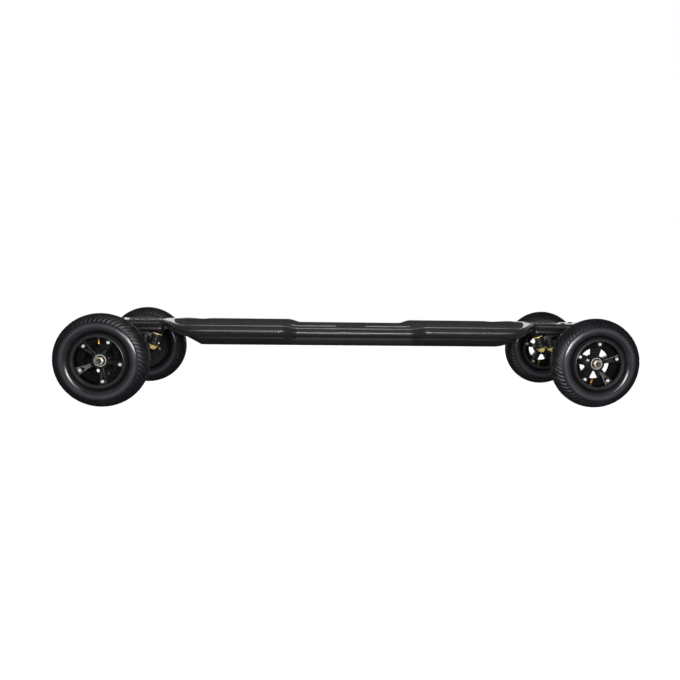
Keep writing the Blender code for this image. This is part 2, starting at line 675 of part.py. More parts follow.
def build_drive(side, materials):
    """One rear wheel's gear, belt, pulley, motor and mount."""
    sign = SIDES[side]
    name = f"rear_{side}"
    axle_place = (Matrix.Translation((-AXLE_X, 0, WHEEL_RADIUS))
                  @ Matrix.Rotation(-sign * math.pi / 2, 4, "X"))
    aim = Matrix.Rotation(math.pi + sign * MOTOR_RISE, 4, "Z")
    motor_place = axle_place @ aim @ Matrix.Translation((MOTOR_DISTANCE, 0, 0))
    low, high = BELT_CENTRE - BELT_HALF_WIDTH, BELT_CENTRE + BELT_HALF_WIDTH

    gear_low, gear_high = low - 0.0005, high + 0.0005
    tip = pitch_radius(GEAR_TEETH) - 0.0005
    gear = lathe([(0.0135, gear_low), (0.0175, gear_low), (0.0175, high - 0.0050), (0.0410, high - 0.0050),
                  (0.0410, gear_low), (tip, gear_low), (tip, gear_high), (0.0135, gear_high)], 30)
    posts, holes = [], []
    rim_face = HALF_TRACK - SPOKE_FACES[1] - 0.0015
    for i in range(SPOKES):
        spoke = RIM_PHASE[name] + 360 * i / SPOKES
        posts.append(at_angle(cylinder(0.0040, high - 0.003, rim_face - GAP, 8), 0.0360, spoke))
        hole = cylinder(GEAR_HOLE[1], gear_low, gear_high + 0.01, 8)
        holes.append(at_angle(hole, GEAR_HOLE[0], spoke + GEAR_HOLE_TURN[side]))
    gear = united(cut(gear, *holes), *posts)
    add_piece(f"{name}_wheel_gear", gear, materials["black_alloy"], axle_place)

    belt = cut(prism(belt_outline(BELT_THICKNESS - 0.0001), low, high),
               prism(belt_outline(-0.0001), low - 0.01, high + 0.01))
    add_piece(f"{name}_drive_belt", belt, materials["belt"], axle_place @ aim)

    pulley = prism(toothed_outline(PULLEY_TEETH), low - 0.001, high + 0.001)
    flange_low = cylinder(0.0142, low - 0.0018, low - 0.0006)
    flange_high = cylinder(0.0142, high + 0.0006, high + 0.0018)
    shaft = cylinder(0.0040, MOTOR_SPAN[1] + GAP, high + 0.004, 16)
    add_piece(f"{name}_motor_pulley", united(pulley, flange_low, flange_high, shaft),
              materials["steel"], motor_place)

    can = lathe([(0, MOTOR_SPAN[0]), (MOTOR_RADIUS - 0.004, MOTOR_SPAN[0]),
                 (MOTOR_RADIUS, MOTOR_SPAN[0] + 0.004), (MOTOR_RADIUS, MOTOR_SPAN[1] - 0.002),
                 (MOTOR_RADIUS - 0.002, MOTOR_SPAN[1]), (0, MOTOR_SPAN[1])], 24)
    add_piece(f"{name}_motor_can", can, materials["motor"], motor_place)

    plate = prism(taut_outline(*MOUNT_END_RADII, 12, 12), *MOUNT_SPAN)
    clamp_hole = cylinder(HANGER_BEAM_RADIUS + GAP, 0, 0.2)
    shaft_hole = shifted(cylinder(0.0080, 0, 0.2), x=MOTOR_DISTANCE)
    add_piece(f"{name}_motor_mount", cut(plate, clamp_hole, shaft_hole), materials["black_alloy"],
              axle_place @ aim)


def build():
    clear_scene()
    materials = {
        "carbon": make_material("carbon", (0.020, 0.021, 0.023), 0.25, 0.0),
        "grip": make_material("grip", (0.050, 0.058, 0.068), 0.90, 0.0),
        "cover": make_material("cover", (0.016, 0.016, 0.017), 0.55, 0.0),
        "rubber": make_material("rubber", (0.010, 0.010, 0.010), 0.70, 0.0),
        "tyre": make_material("tyre", (0.014, 0.014, 0.015), 0.45, 0.0),
        "black_alloy": make_material("black_alloy", (0.012, 0.012, 0.013), 0.35, 0.6),
        "bare_alloy": make_material("bare_alloy", (0.55, 0.56, 0.58), 0.35, 1.0),
        "steel": make_material("steel", (0.50, 0.50, 0.50), 0.30, 1.0),
        "gold": make_material("gold", (0.80, 0.55, 0.20), 0.28, 1.0),
        "battery": make_material("battery", (0.05, 0.12, 0.30), 0.50, 0.0),
        "circuit_board": make_material("circuit_board", (0.02, 0.16, 0.06), 0.45, 0.0),
        "plastic": make_material("plastic", (0.015, 0.015, 0.016), 0.50, 0.0),
        "belt": make_material("belt", (0.012, 0.012, 0.012), 0.75, 0.0),
        "motor": make_material("motor", (0.020, 0.020, 0.022), 0.40, 0.7),
    }
    build_deck(materials)
    build_grip(materials)
    build_belly(materials)
    build_ports(materials)
    for end in ENDS:
        build_baseplate(end, materials)
        build_kingpins(end, materials)
        build_knuckle(end, materials)
        build_hanger(end, materials)
    build_wheels(materials)
    for side in SIDES:
        build_drive(side, materials)


build()
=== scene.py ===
"""Looks of the electric skateboard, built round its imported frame."""
import math

import bmesh
import bpy
import numpy as np
from mathutils import Matrix, Vector


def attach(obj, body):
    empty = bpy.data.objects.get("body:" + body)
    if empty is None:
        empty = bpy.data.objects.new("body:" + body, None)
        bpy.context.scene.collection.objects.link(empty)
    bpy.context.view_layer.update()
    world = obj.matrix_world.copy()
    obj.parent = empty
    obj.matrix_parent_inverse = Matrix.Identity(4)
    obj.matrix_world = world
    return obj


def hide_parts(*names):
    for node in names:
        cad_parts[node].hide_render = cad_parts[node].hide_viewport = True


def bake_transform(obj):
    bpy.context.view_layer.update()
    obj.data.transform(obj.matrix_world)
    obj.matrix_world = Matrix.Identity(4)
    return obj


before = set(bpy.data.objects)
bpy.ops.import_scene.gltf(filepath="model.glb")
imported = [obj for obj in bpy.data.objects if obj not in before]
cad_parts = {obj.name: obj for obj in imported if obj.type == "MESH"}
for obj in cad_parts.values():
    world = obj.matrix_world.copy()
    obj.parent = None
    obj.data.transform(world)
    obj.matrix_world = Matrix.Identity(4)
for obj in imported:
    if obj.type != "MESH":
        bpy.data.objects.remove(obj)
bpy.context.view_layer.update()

# ---------------------------------------------------------------- sizes, in metres
GAP = 0.0003                           # clearance between pieces that touch on the real board
ROUND = 48                             # segments of a turned piece

WHEEL_RADIUS = 0.0875
AXLE_X = 0.471
HALF_TRACK = 0.162
DECK_HALF_LENGTH, DECK_TIP_START = 0.555, 0.53
WAIST_HALF_WIDTH, WING_HALF_WIDTH, NOSE_HALF_WIDTH = 0.122, 0.145, 0.045
WAIST_EDGE_TOP, WAIST_CENTRE_TOP = 0.1455, 0.1433   # heights of the slightly hollow standing surface
WING_EDGE_TOP, WING_CENTRE_TOP, NOSE_TOP = 0.151, 0.1462, 0.1565
WING_START = (0.112, 0.142)
WING_END = (0.285, 0.392)
RAIL_WIDTH = (0.012, 0.015, 0.008)     # waist, wing and nose
RAIL_HEIGHT = (0.008, 0.0097, 0.007)   # half the thickness of the edge
RAIL_LIFT = 0.12                       # how far the widest line of the edge lies above its middle, as a share
BELLY_BOTTOM = 0.1125
BELLY_HALF_WIDTH = 0.1
BELLY_REAR_END = 0.3
BELLY_CHAMFER_SLOPE = 0.5
BELLY_FRONT_END = (0.285, 0.372)
# The belly's wall from the rail to the flat bottom: place across, swelling and place down, as shares.
BELLY_WALL = (
    (1, 0, 0), (0.88, 0, -0.02), (0.78, 0, 0), (0.71, 0, 0.04), (0.68, 0.01, 0.09),
    (0.66, 0.04, 0.16), (0.64, 0.05, 0.26), (0.56, 0.05, 0.45), (0.41, 0.035, 0.68), (0.2, 0.012, 0.89),
    (0, 0, 1),
)
GRIP_LIFT = 0.0004
GRIP_THICKNESS = 0.0012
GRIP_START_OF_TIP, GRIP_END = 0.312, 0.374
COVER_X = (-0.284, 0.271)              # ends of the recess for the belly cover
COVER_HALF_WIDTH = 0.095
COVER_THICKNESS = 0.0026
# Each port's place across the deck and its radius.
PORTS = {"charge_port": (0.03, 0.008), "power_button": (-0.03, 0.007), "motor_cable_gland": (0.0, 0.0055)}

TRUCK_TILT = math.radians(20)
STACK_TOP = (0.409, 0, 0.127)
KINGPIN_SPACING = 0.021
INNER_RING = (-0.018, -0.011)
OUTER_RING = (-0.0263, -0.0203)
INNER_PIVOT = sum(INNER_RING) / 2
OUTER_PIVOT = sum(OUTER_RING) / 2
LUG_X = (0.0405, 0.047)
SOCKET_X = (0.0495, 0.058)
AXLE_RADIUS = 0.005
AXLE_HALF_LENGTH = 0.1815
BEAM_RADIUS = 0.0105
PLATE_TOP, PLATE_BOTTOM = 0.1399, 0.1349
TRUCK_BOLTS = [(x, y) for x in (0.456, 0.488) for y in (-0.021, 0.021)]

HUB_BORE = 0.0113
HUB_RADIUS = 0.0155
HUB_FACE = 0.011                       # outboard face of the hub, from the middle of the wheel
SPOKES = 5
RIM_PHASE = {"front_right": 15.1, "rear_right": -9.2, "front_left": -21.5, "rear_left": 10.0}
VALVE_ANGLE = {"front_right": 256.6, "rear_right": 93.0, "front_left": 99.0, "rear_left": 262.0}
BOLT_CIRCLE = 0.0384
SPOKE_SPAN = (0.0135, 0.0456)
TREAD_HALF = 0.0292                    # half width of the grooved tread, measured over its curve
TREAD_PITCHES = 29
TREAD_SWEEP = math.radians(19)
TREAD_DEPTH = 0.0026
HIGHLIGHT_RING_RADIUS = 0.0662                  # a painted highlight: the side wall's ring that is painted paler
HIGHLIGHT_RING_WIDTH = 0.0033

BELT_PITCH = 0.005
GEAR_TEETH, PULLEY_TEETH = 60, 15
BELT_LOW, BELT_HIGH = 0.1125, 0.1275
BELT_THICKNESS = 0.0018
TOOTH_DEPTH = 0.0021
MOTOR_DISTANCE = 0.064
MOTOR_RISE = math.radians(12)
MOTOR_RADIUS = 0.0245
MOTOR_SPAN = (0.034, 0.098)
MOUNT_SPAN = (0.0983, 0.1043)
GEAR_POST_CIRCLE = 0.036
MOTOR_SCREW_CIRCLE = 0.015

SIDES = {"left": 1, "right": -1}
ENDS = {"front": Matrix.Identity(4), "rear": Matrix.Rotation(math.pi, 4, "Z")}
WHEELS = [(end, side) for end in ENDS for side in SIDES]


# ---------------------------------------------------------------- materials
FINISHES = {}


class Nodes:
    """A node tree with short ways to wire it."""

    def __init__(self, tree):
        self.tree = tree

    def node(self, kind, output, inputs, **settings):
        made = self.tree.nodes.new(kind)
        for key, value in settings.items():
            setattr(made, key, value)
        for key, value in inputs.items():
            self.feed(value, made.inputs[key])
        return made.outputs[output]

    def feed(self, value, socket):
        if isinstance(value, bpy.types.NodeSocket):
            self.tree.links.new(value, socket)
        else:
            socket.default_value = value

    def ramp(self, factor, *stops):
        """Greys or colours along factor, each given as its place and its tone."""
        made = self.tree.nodes.new("ShaderNodeValToRGB")
        elements = made.color_ramp.elements
        while len(elements) < len(stops):
            elements.new(0.5)
        for element, (place, tone) in zip(elements, stops):
            element.position = place
            element.color = (*tone, 1) if isinstance(tone, tuple) else (tone, tone, tone, 1)
        self.feed(factor, made.inputs["Fac"])
        return made.outputs["Color"]


class Finish(Nodes):
    """One material, entered in FINISHES under its name."""

    def __init__(self, name, **sockets):
        material = bpy.data.materials.new(name)
        material.use_nodes = True
        super().__init__(material.node_tree)
        self.shader = self.tree.nodes["Principled BSDF"]
        for socket, value in sockets.items():
            self.shader.inputs[socket.replace("_", " ")].default_value = value
        FINISHES[name] = material

    def coords(self, kind="Object", scale=(1, 1, 1)):
        place = self.node("ShaderNodeTexCoord", kind, {})
        return self.node("ShaderNodeMapping", "Vector", {"Vector": place, "Scale": scale})

    def math(self, operation, first, second=0.0):
        return self.node("ShaderNodeMath", "Value", {0: first, 1: second}, operation=operation)

    def shares(self, first, first_share, second, second_share):
        """The sum of two values, each times its share."""
        return self.math("ADD", self.math("MULTIPLY", first, first_share),
                         self.math("MULTIPLY", second, second_share))

    def noise(self, scale, detail=4.0, stretch=(1, 1, 1), kind="Object"):
        return self.node("ShaderNodeTexNoise", "Fac",
                         {"Vector": self.coords(kind, stretch), "Scale": scale, "Detail": detail})

    def paint(self, factor, low, high, start=0.3, stop=0.7):
        """Colour that goes from low to high as factor goes from start to stop."""
        self.feed(self.ramp(factor, (start, low), (stop, high)), self.shader.inputs["Base Color"])

    def roughen(self, factor, low, high):
        span = self.node("ShaderNodeMapRange", "Result",
                         {"Value": factor, "From Min": 0.3, "From Max": 0.7, "To Min": low, "To Max": high})
        self.feed(span, self.shader.inputs["Roughness"])

    def bump(self, *layers):
        """Stack bumps, each given as height, strength and distance."""
        inputs = {}
        for height, strength, distance in layers:
            inputs.update({"Height": height, "Strength": strength, "Distance": distance})
            inputs["Normal"] = self.node("ShaderNodeBump", "Normal", inputs)
        self.feed(inputs["Normal"], self.shader.inputs["Normal"])


def plain(name, low, high, roughness, grain=900.0, relief=0.12, cloud=30.0, stretch=(1, 1, 1), **sockets):
    """A cast, moulded or plated surface: cloudy tone, varied gloss and a fine grain."""
    finish = Finish(name, **sockets)
    clouds = finish.noise(cloud, 5.0, stretch)
    grains = finish.noise(grain, 2.0, stretch)
    finish.paint(finish.shares(clouds, 0.75, grains, 0.25), low, high)
    finish.roughen(clouds, *roughness)
    finish.bump((grains, relief, 0.0002))


def carbon(name, tow, roughness, low, high, **sockets):
    """A two-over-two twill of carbon tows, laid out on the piece's own chart in metres. Its base colour also
    carries painted sheen and shade: the tows on top are lighter than those under them, and each tow is
    lighter along its middle than at its edges.
    """
    finish = Finish(name, **sockets)
    chart = finish.node("ShaderNodeSeparateXYZ", "X", {"Vector": finish.coords("UV")})
    ways = [finish.math("DIVIDE", chart.node.outputs[axis], tow) for axis in "XY"]
    step = finish.math("ADD", *(finish.math("FLOOR", way) for way in ways))
    over = finish.math("LESS_THAN", finish.math("FRACT", finish.math("MULTIPLY", step, 0.25)), 0.5)
    crowns = [finish.math("SINE", finish.math("MULTIPLY", finish.math("FRACT", way), math.pi))
              for way in ways]
    fibres = [finish.noise(1.0, 2.0, stretch, "UV") for stretch in ((9000, 250, 1), (250, 9000, 1))]

    def pick(pair):
        return finish.math("ADD", pair[1], finish.math("MULTIPLY", over, finish.math("SUBTRACT", *pair)))

    crown, fibre = pick(crowns), pick(fibres)
    # painted sheen and shade: tows on top lighter than those under, each tow darker towards its edges; the
    # fibre streaks are the tows' own tone
    tone = finish.math("MULTIPLY", finish.math("ADD", finish.math("MULTIPLY", over, 0.62), 0.22),
                       finish.math("ADD", finish.math("MULTIPLY", fibre, 0.6), 0.6))
    finish.paint(finish.math("MULTIPLY", tone, crown), low, high, 0.0, 0.9)
    finish.roughen(fibre, *roughness)
    finish.bump((crown, 0.55, 0.0004), (fibre, 0.1, 0.0001))


def grit(name):
    finish = Finish(name)
    cells = finish.node("ShaderNodeTexVoronoi", "Distance", {"Vector": finish.coords(), "Scale": 900.0})
    dust = finish.noise(14.0, 6.0)
    specks = finish.noise(700.0, 2.0)
    finish.paint(finish.shares(dust, 0.5, specks, 0.5), (0.015, 0.017, 0.02), (0.037, 0.041, 0.048))
    finish.roughen(dust, 0.72, 0.88)
    finish.bump((cells, 0.55, 0.0006), (specks, 0.35, 0.0004))


def tyre_rubber(name, roughness, low, high, relief, highlight_ring=False, **sockets):
    """Rubber. When asked, its high tone is kept for where the mesh's ring value is 1, a painted highlight
    round the side wall.
    """
    finish = Finish(name, **sockets)
    dust = finish.noise(38.0, 6.0)
    pores = finish.noise(1300.0, 2.0)
    if highlight_ring:
        # painted highlight: the ring from the mesh makes the base colour paler
        highlight = finish.node("ShaderNodeAttribute", "Fac", {}, attribute_name="highlight_ring")
        finish.paint(finish.shares(dust, 0.5, highlight, 0.6), low, high, 0.15, 0.95)
    else:
        finish.paint(dust, low, high)
    finish.roughen(dust, *roughness)
    finish.bump((pores, relief, 0.0002), (finish.noise(220.0, 3.0), 0.06, 0.0004))


def tracks(name):
    """A circuit board with rows of tracks and pads."""
    finish = Finish(name, Roughness=0.4)
    bricks = finish.node("ShaderNodeTexBrick", "Fac", {"Vector": finish.coords(), "Scale": 180.0})
    finish.paint(bricks, (0.005, 0.06, 0.02), (0.25, 0.19, 0.06), 0.4, 0.6)
    finish.bump((bricks, 0.3, 0.0003))


plain("black_alloy", 0.004, 0.015, (0.3, 0.46), relief=0.18, Specular_IOR_Level=0.5)
plain("rim", 0.006, 0.015, (0.22, 0.34), relief=0.14, Specular_IOR_Level=0.5)
# the lip's finish: a lighter copy of the rim paint, painted light where the lip catches the lamps
plain("rim_lip_painted_light", 0.015, 0.028, (0.24, 0.36), grain=1400.0, relief=0.2)
# the barrel's finish: a near-black copy of the rim paint for the inside of the barrel and the web, painted
# shade inside the rim's windows
plain("barrel", 0.001, 0.004, (0.45, 0.6), relief=0.2, Specular_IOR_Level=0.1)
plain("rubber", 0.008, 0.022, (0.42, 0.6), grain=1500.0)
plain("plastic", 0.01, 0.024, (0.38, 0.52), grain=2200.0)
plain("belt", 0.012, 0.03, (0.55, 0.75), grain=1800.0, relief=0.3)
plain("cover", 0.014, 0.032, (0.42, 0.6), grain=1600.0, relief=0.25)
plain("seal", 0.004, 0.012, (0.35, 0.5))
plain("steel", 0.8, 0.95, (0.16, 0.28), cloud=120.0, relief=0.06, Metallic=0.3)
plain("dull_steel", 0.08, 0.16, (0.3, 0.44), cloud=90.0, Metallic=0.7)
plain("bare_alloy", 0.45, 0.65, (0.25, 0.4), stretch=(1, 14, 1), Metallic=0.8)
plain("gold", (0.95, 0.66, 0.16), (1.0, 0.84, 0.34), (0.16, 0.26), cloud=160.0, relief=0.06, Metallic=0.12,
      Specular_IOR_Level=0.9)
plain("pale_gold", (0.7, 0.62, 0.42), (0.92, 0.84, 0.62), (0.18, 0.3), cloud=160.0, relief=0.06,
      Metallic=0.45)
plain("amber", (0.75, 0.28, 0.02), (0.95, 0.45, 0.05), (0.2, 0.34), cloud=160.0, Metallic=1.0)
plain("motor", 0.015, 0.04, (0.28, 0.42), stretch=(1, 1, 12), Metallic=0.8)
plain("battery", (0.01, 0.03, 0.1), (0.02, 0.06, 0.2), (0.3, 0.45))
plain("stripe", 0.7, 0.88, (0.5, 0.7), grain=1200.0, relief=0.3)
plain("edge_line", (0.075, 0.08, 0.09), (0.12, 0.125, 0.135), (0.4, 0.6))
carbon("carbon", 0.0016, (0.2, 0.32), 0.003, 0.04, Coat_Weight=0.6, Coat_Roughness=0.06,
       Specular_IOR_Level=0.6)
carbon("carbon_satin", 0.0021, (0.36, 0.5), 0.002, 0.036, Specular_IOR_Level=0.25)
grit("grip")
tracks("circuit_board")
# the side wall carries a painted highlight ring in its base colour
tyre_rubber("tyre_wall", (0.12, 0.2), (0.014, 0.015, 0.018), (0.064, 0.066, 0.073), 0.05, highlight_ring=True)
tyre_rubber("tyre_tread", (0.38, 0.55), (0.003, 0.0035, 0.005), (0.008, 0.009, 0.012), 0.16,
            Specular_IOR_Level=0.4)
# the bead's finish: near-black rubber next to the rim, painted shade in the groove between tyre and rim
tyre_rubber("tyre_bead_painted_shade", (0.5, 0.7), (0.002, 0.002, 0.002), (0.004, 0.004, 0.005), 0.2,
            Specular_IOR_Level=0.08)


# ---------------------------------------------------------------- shapes
def mesh_of(points, faces, chart=None):
    """A mesh whose faces point outwards. Chart holds one (u, v) for each corner of each face."""
    mesh = bpy.data.meshes.new("shape")
    mesh.from_pydata(points, [], faces)
    if chart is not None:
        layer = mesh.uv_layers.new(name="chart")
        layer.data.foreach_set("uv", np.asarray(chart, np.float32).ravel())
    build = bmesh.new()
    build.from_mesh(mesh)
    bmesh.ops.recalc_face_normals(build, faces=build.faces)
    build.to_mesh(mesh)
    build.free()
    return mesh


def skin(rings, closed=False, chart=None):
    """One closed surface over a row of equal rings. With closed, the last ring joins the first."""
    rings = np.asarray(rings, float)
    count, size = rings.shape[:2]
    index = np.arange(count * size).reshape(count, size)
    start = index if closed else index[:-1]
    after = np.roll(index, -1, axis=0) if closed else index[1:]
    quads = np.stack([start, after, np.roll(after, -1, axis=1), np.roll(start, -1, axis=1)], axis=-1)
    faces = quads.reshape(-1, 4).tolist()
    corners = None
    if chart is not None:
        chart = np.asarray(chart, float)
        corners = np.stack([chart[:-1, :-1], chart[1:, :-1], chart[1:, 1:], chart[:-1, 1:]], axis=2)
        corners = np.concatenate([corners.reshape(-1, 2), chart[0, size - 1::-1], chart[-1, :size]])
    if not closed:
        faces += [index[0][::-1].tolist(), index[-1].tolist()]
    return mesh_of(rings.reshape(-1, 3).tolist(), faces, corners)


def ring(radius, height, count, flats=0):
    """A circle, or with flats a polygon of that many sides measured to their middles."""
    angles = np.arange(count) * math.tau / count
    reach = np.full(count, float(radius))
    if flats:
        corner = math.tau / flats
        reach = radius / np.cos(np.mod(angles, corner) - corner / 2)
    return np.stack([reach * np.cos(angles), reach * np.sin(angles), np.full(count, float(height))], axis=-1)


def turned(profile, closed=False, count=ROUND):
    """A turned shape about Z. Closed is for a profile round a hole. A point's third value gives its flats."""
    return skin([ring(radius, height, count, *flats) for radius, height, *flats in profile], closed)


def rod(radius, low, high, count=ROUND):
    return turned([(radius, low), (radius, high)], count=count)


def arc(centre, radii, start, stop, steps):
    """Points on part of an ellipse, with angles in degrees."""
    angles = np.radians(np.linspace(start, stop, steps))
    return [(centre[0] + radii[0] * math.cos(a), centre[1] + radii[1] * math.sin(a)) for a in angles]


def smooth_line(points, per_span):
    """A Catmull-Rom line through the points."""
    points = np.asarray(points, float)
    padded = np.concatenate([[2 * points[0] - points[1]], points, [2 * points[-1] - points[-2]]])
    line = []
    for a, b, c, d in zip(padded, padded[1:], padded[2:], padded[3:]):
        for t in np.arange(per_span) / per_span:
            line.append(0.5 * (2 * b + (c - a) * t + (2 * a - 5 * b + 4 * c - d) * t ** 2
                               + (3 * b - a - 3 * c + d) * t ** 3))
    return np.array(line + [points[-1]])


def disc(radius, low, high, edge=0.0004):
    """A short solid cylinder with softened edges."""
    return turned([(radius - edge, low), (radius, low + edge), (radius, high - edge), (radius - edge, high)])


def sleeve(bore, radius, low, high, edge=0.0004, count=ROUND):
    """A tube with softened edges."""
    profile = [(bore, low + edge), (bore + edge, low), (radius - edge, low), (radius, low + edge),
               (radius, high - edge), (radius - edge, high), (bore + edge, high), (bore, high - edge)]
    return turned(profile, True, count)


def prism(outline, low, high):
    points = np.asarray(outline, float)
    return skin([np.column_stack([points, np.full(len(points), z)]) for z in (low, high)])


def block(low, high):
    outline = [(low[0], low[1]), (high[0], low[1]), (high[0], high[1]), (low[0], high[1])]
    return prism(outline, low[2], high[2])


def rounded_rectangle(half_x, half_y, corner, steps=6):
    corners = ((1, 1, 0), (-1, 1, 90), (-1, -1, 180), (1, -1, 270))
    outline = []
    for sign_x, sign_y, start in corners:
        centre = (sign_x * (half_x - corner), sign_y * (half_y - corner))
        outline += arc(centre, (corner, corner), start, start + 90, steps)
    return outline


def moved(mesh, matrix):
    made = mesh.copy()
    made.transform(matrix)
    return made


def at(x=0.0, y=0.0, z=0.0):
    return Matrix.Translation((x, y, z))


def shifted(mesh, x=0.0, y=0.0, z=0.0):
    return moved(mesh, at(x, y, z))


def turn(axis, degrees):
    return Matrix.Rotation(math.radians(degrees), 4, axis)


FLIPPED = turn("X", 180)


def along_x(mesh):
    return moved(mesh, turn("Y", 90))


def along_y(mesh):
    return moved(mesh, turn("X", -90))


def mirrored(half):
    """A profile that runs from the middle to one end, with its mirror image before it."""
    return [(radius, -height) for radius, height in reversed(half)] + half


def both_ways(stations):
    """Stations from 0 outwards, with the same ones the other way before them."""
    return np.concatenate([-stations[:0:-1], stations])


def linked(name, data):
    """A new object in the scene."""
    made = bpy.data.objects.new(name, data)
    bpy.context.scene.collection.objects.link(made)
    return made


def coat(mesh, *finishes):
    for finish in finishes:
        mesh.materials.append(FINISHES[finish])


def refined(mesh, kind, **settings):
    """The mesh with one modifier applied."""
    holder = linked("holder", mesh)
    modifier = holder.modifiers.new(kind, kind)
    for key, value in settings.items():
        setattr(modifier, key, value)
    graph = bpy.context.evaluated_depsgraph_get()
    made = bpy.data.meshes.new_from_object(holder.evaluated_get(graph))
    bpy.data.objects.remove(holder)
    return made


def combined(base, operation, tools):
    for tool in tools:
        other = linked("tool", tool)
        base = refined(base, "BOOLEAN", object=other, operation=operation, solver="EXACT")
        bpy.data.objects.remove(other)
    return base


def united(base, *tools):
    return combined(base, "UNION", tools)


def cut(base, *tools):
    return combined(base, "DIFFERENCE", tools)


def softened(mesh, width=0.0005, segments=2):
    """The mesh with its sharp edges rounded off."""
    return refined(mesh, "BEVEL", width=width, segments=segments, limit_method="ANGLE",
                   angle_limit=math.radians(35), harden_normals=False)


def piece(name, mesh, finish, body, place=Matrix.Identity(4), stands_for=(), slot=None, sharp=35, blend=None):
    """Add a piece and tie it to the frame; with blend, its place is baked into its mesh instead. A mesh that
    already has its own materials keeps them, and finish is not used for it.
    """
    if mesh.users:
        mesh = mesh.copy()
    mesh.name = name
    if not mesh.materials:
        coat(mesh, finish)
    mesh.shade_smooth()
    mesh.set_sharp_from_angle(angle=math.radians(sharp))
    made = linked(name, mesh)
    made.matrix_world = place
    if blend:
        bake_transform(made)
    else:
        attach(made, body)
    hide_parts(*stands_for)


def group(prefix):
    """A piece() that puts prefix before the name, and before the name of the CAD node it stands for."""
    def add(name, mesh, finish, body, place, node=None, **settings):
        stands_for = [f"{prefix}_{node}"] if node else ()
        piece(f"{prefix}_{name}", mesh, finish, body, place, stands_for, **settings)
    return add


# ---------------------------------------------------------------- fasteners, seated at Z = 0 with the head up
def socket_screw(head, height, socket):
    edge = 0.15 * height
    return turned([(head - edge, 0), (head, edge), (head, height - edge), (head - edge, height),
                   (socket * 1.15, height), (socket, height - 0.0002, 6), (socket, 0.4 * height, 6)],
                  count=24)


def lock_nut(flats, height, bore, collar):
    """A chamfered nut with an insert ring that stands higher than its flats by collar."""
    chamfer = 0.0006
    insert = flats - 0.0012
    return turned([(bore, 0), (flats - chamfer / 2, 0), (flats, chamfer, 6), (flats, height - chamfer, 6),
                   (flats - chamfer / 2, height), (insert, height), (insert, height + 0.6 * collar),
                   (flats - 0.002, height + collar), (bore, height + collar)], True, 24)


# ---------------------------------------------------------------- deck
def eased(value, span, low, high):
    share = min(max((value - span[0]) / (span[1] - span[0]), 0), 1)
    return low + (high - low) * share * share * (3 - 2 * share)


def wing_share(x):
    share = min(max((abs(x) - WING_END[0]) / (WING_END[1] - WING_END[0]), 0), 1)
    return 1 - eased(share ** 1.9, (0, 1), 0, 1)


def waist_wing_nose(x, waist, wing, nose):
    widened = eased(abs(x), WING_START, waist, wing)
    return nose + (widened - nose) * wing_share(x)


def deck_half_width(x):
    half = waist_wing_nose(x, WAIST_HALF_WIDTH, WING_HALF_WIDTH, NOSE_HALF_WIDTH)
    tip = min(max((abs(x) - DECK_TIP_START) / (DECK_HALF_LENGTH - DECK_TIP_START), 0), 0.97)
    return half * math.sqrt(1 - tip ** 3)


def rail_size(x):
    return min(waist_wing_nose(x, *RAIL_WIDTH), 0.5 * deck_half_width(x)), waist_wing_nose(x, *RAIL_HEIGHT)


def edge_top(x):
    widened = eased(abs(x), WING_START, WAIST_EDGE_TOP, WING_EDGE_TOP)
    return eased(abs(x), (0.325, 0.374), widened, NOSE_TOP)


def centre_top(x):
    widened = eased(abs(x), WING_START, WAIST_CENTRE_TOP, WING_CENTRE_TOP)
    return eased(abs(x), (0.328, 0.382), widened, NOSE_TOP)


def deck_top(x, y):
    flat_half = deck_half_width(x) - rail_size(x)[0]
    return centre_top(x) + (edge_top(x) - centre_top(x)) * (y / flat_half) ** 2


def underside(x):
    return edge_top(x) - 2 * rail_size(x)[1]


def belly_bottom(x):
    if x < 0:
        rise = max(-x - BELLY_REAR_END, 0) * BELLY_CHAMFER_SLOPE
    else:
        rise = eased(x, BELLY_FRONT_END, 0, underside(x) - BELLY_BOTTOM)
    return min(BELLY_BOTTOM + rise, underside(x))


def deck_half_section(x):
    """Points (y, z) from the middle of the top, round the rail, to the middle of the bottom."""
    half = deck_half_width(x)
    rail_width, rail_height = rail_size(x)
    flat_half = half - rail_width
    belly_half = eased(abs(x), (0.285, 0.375), BELLY_HALF_WIDTH, 0.6 * flat_half)
    belly = belly_bottom(x)
    depth = underside(x) - belly
    swell = min(depth / 0.012, 1)
    points = [(share * flat_half, deck_top(x, share * flat_half)) for share in np.linspace(0, 0.97, 9)]
    crest = edge_top(x) - (1 - RAIL_LIFT) * rail_height
    points += arc((flat_half, crest), (rail_width, (1 - RAIL_LIFT) * rail_height), 90, 0, 10)
    points += arc((flat_half, crest), (rail_width, (1 + RAIL_LIFT) * rail_height), 0, -90, 10)[1:]
    wall = [(belly_half + (out + bulge * swell) * (flat_half - belly_half), underside(x) - down * depth)
            for out, bulge, down in BELLY_WALL]
    points += smooth_line(wall, 2).tolist()[1:]
    points += [(share * belly_half, belly) for share in (0.96, 0.75, 0.5, 0.25, 0)]
    return points


def deck_mesh():
    stations = np.concatenate([np.arange(0, 0.28, 0.004), np.arange(0.28, 0.395, 0.0025),
                               np.arange(0.395, 0.53, 0.005), np.arange(0.53, DECK_HALF_LENGTH, 0.0025),
                               [DECK_HALF_LENGTH]])
    rings, chart = [], []
    for x in both_ways(stations):
        half = deck_half_section(x)
        lengths = np.hypot(*np.diff(np.array(half), axis=0).T)
        v = np.concatenate([[0], np.cumsum(lengths)])
        near = [(x, -y, z) for y, z in half]
        far = [(x, y, z) for y, z in half[-2:0:-1]]
        rings.append(near + far)
        chart.append([(x, w) for w in v] + [(x, -w) for w in v[-2:0:-1]] + [(x, 0)])
    return skin(rings, chart=chart)


def port_place(y):
    """A spot on the rear chamfer of the belly, with +Z pointing out of the deck."""
    x = -BELLY_REAR_END - 0.015
    lean = math.pi - math.atan(BELLY_CHAMFER_SLOPE)
    return at(x, y, belly_bottom(x)) @ Matrix.Rotation(-lean, 4, "Y")


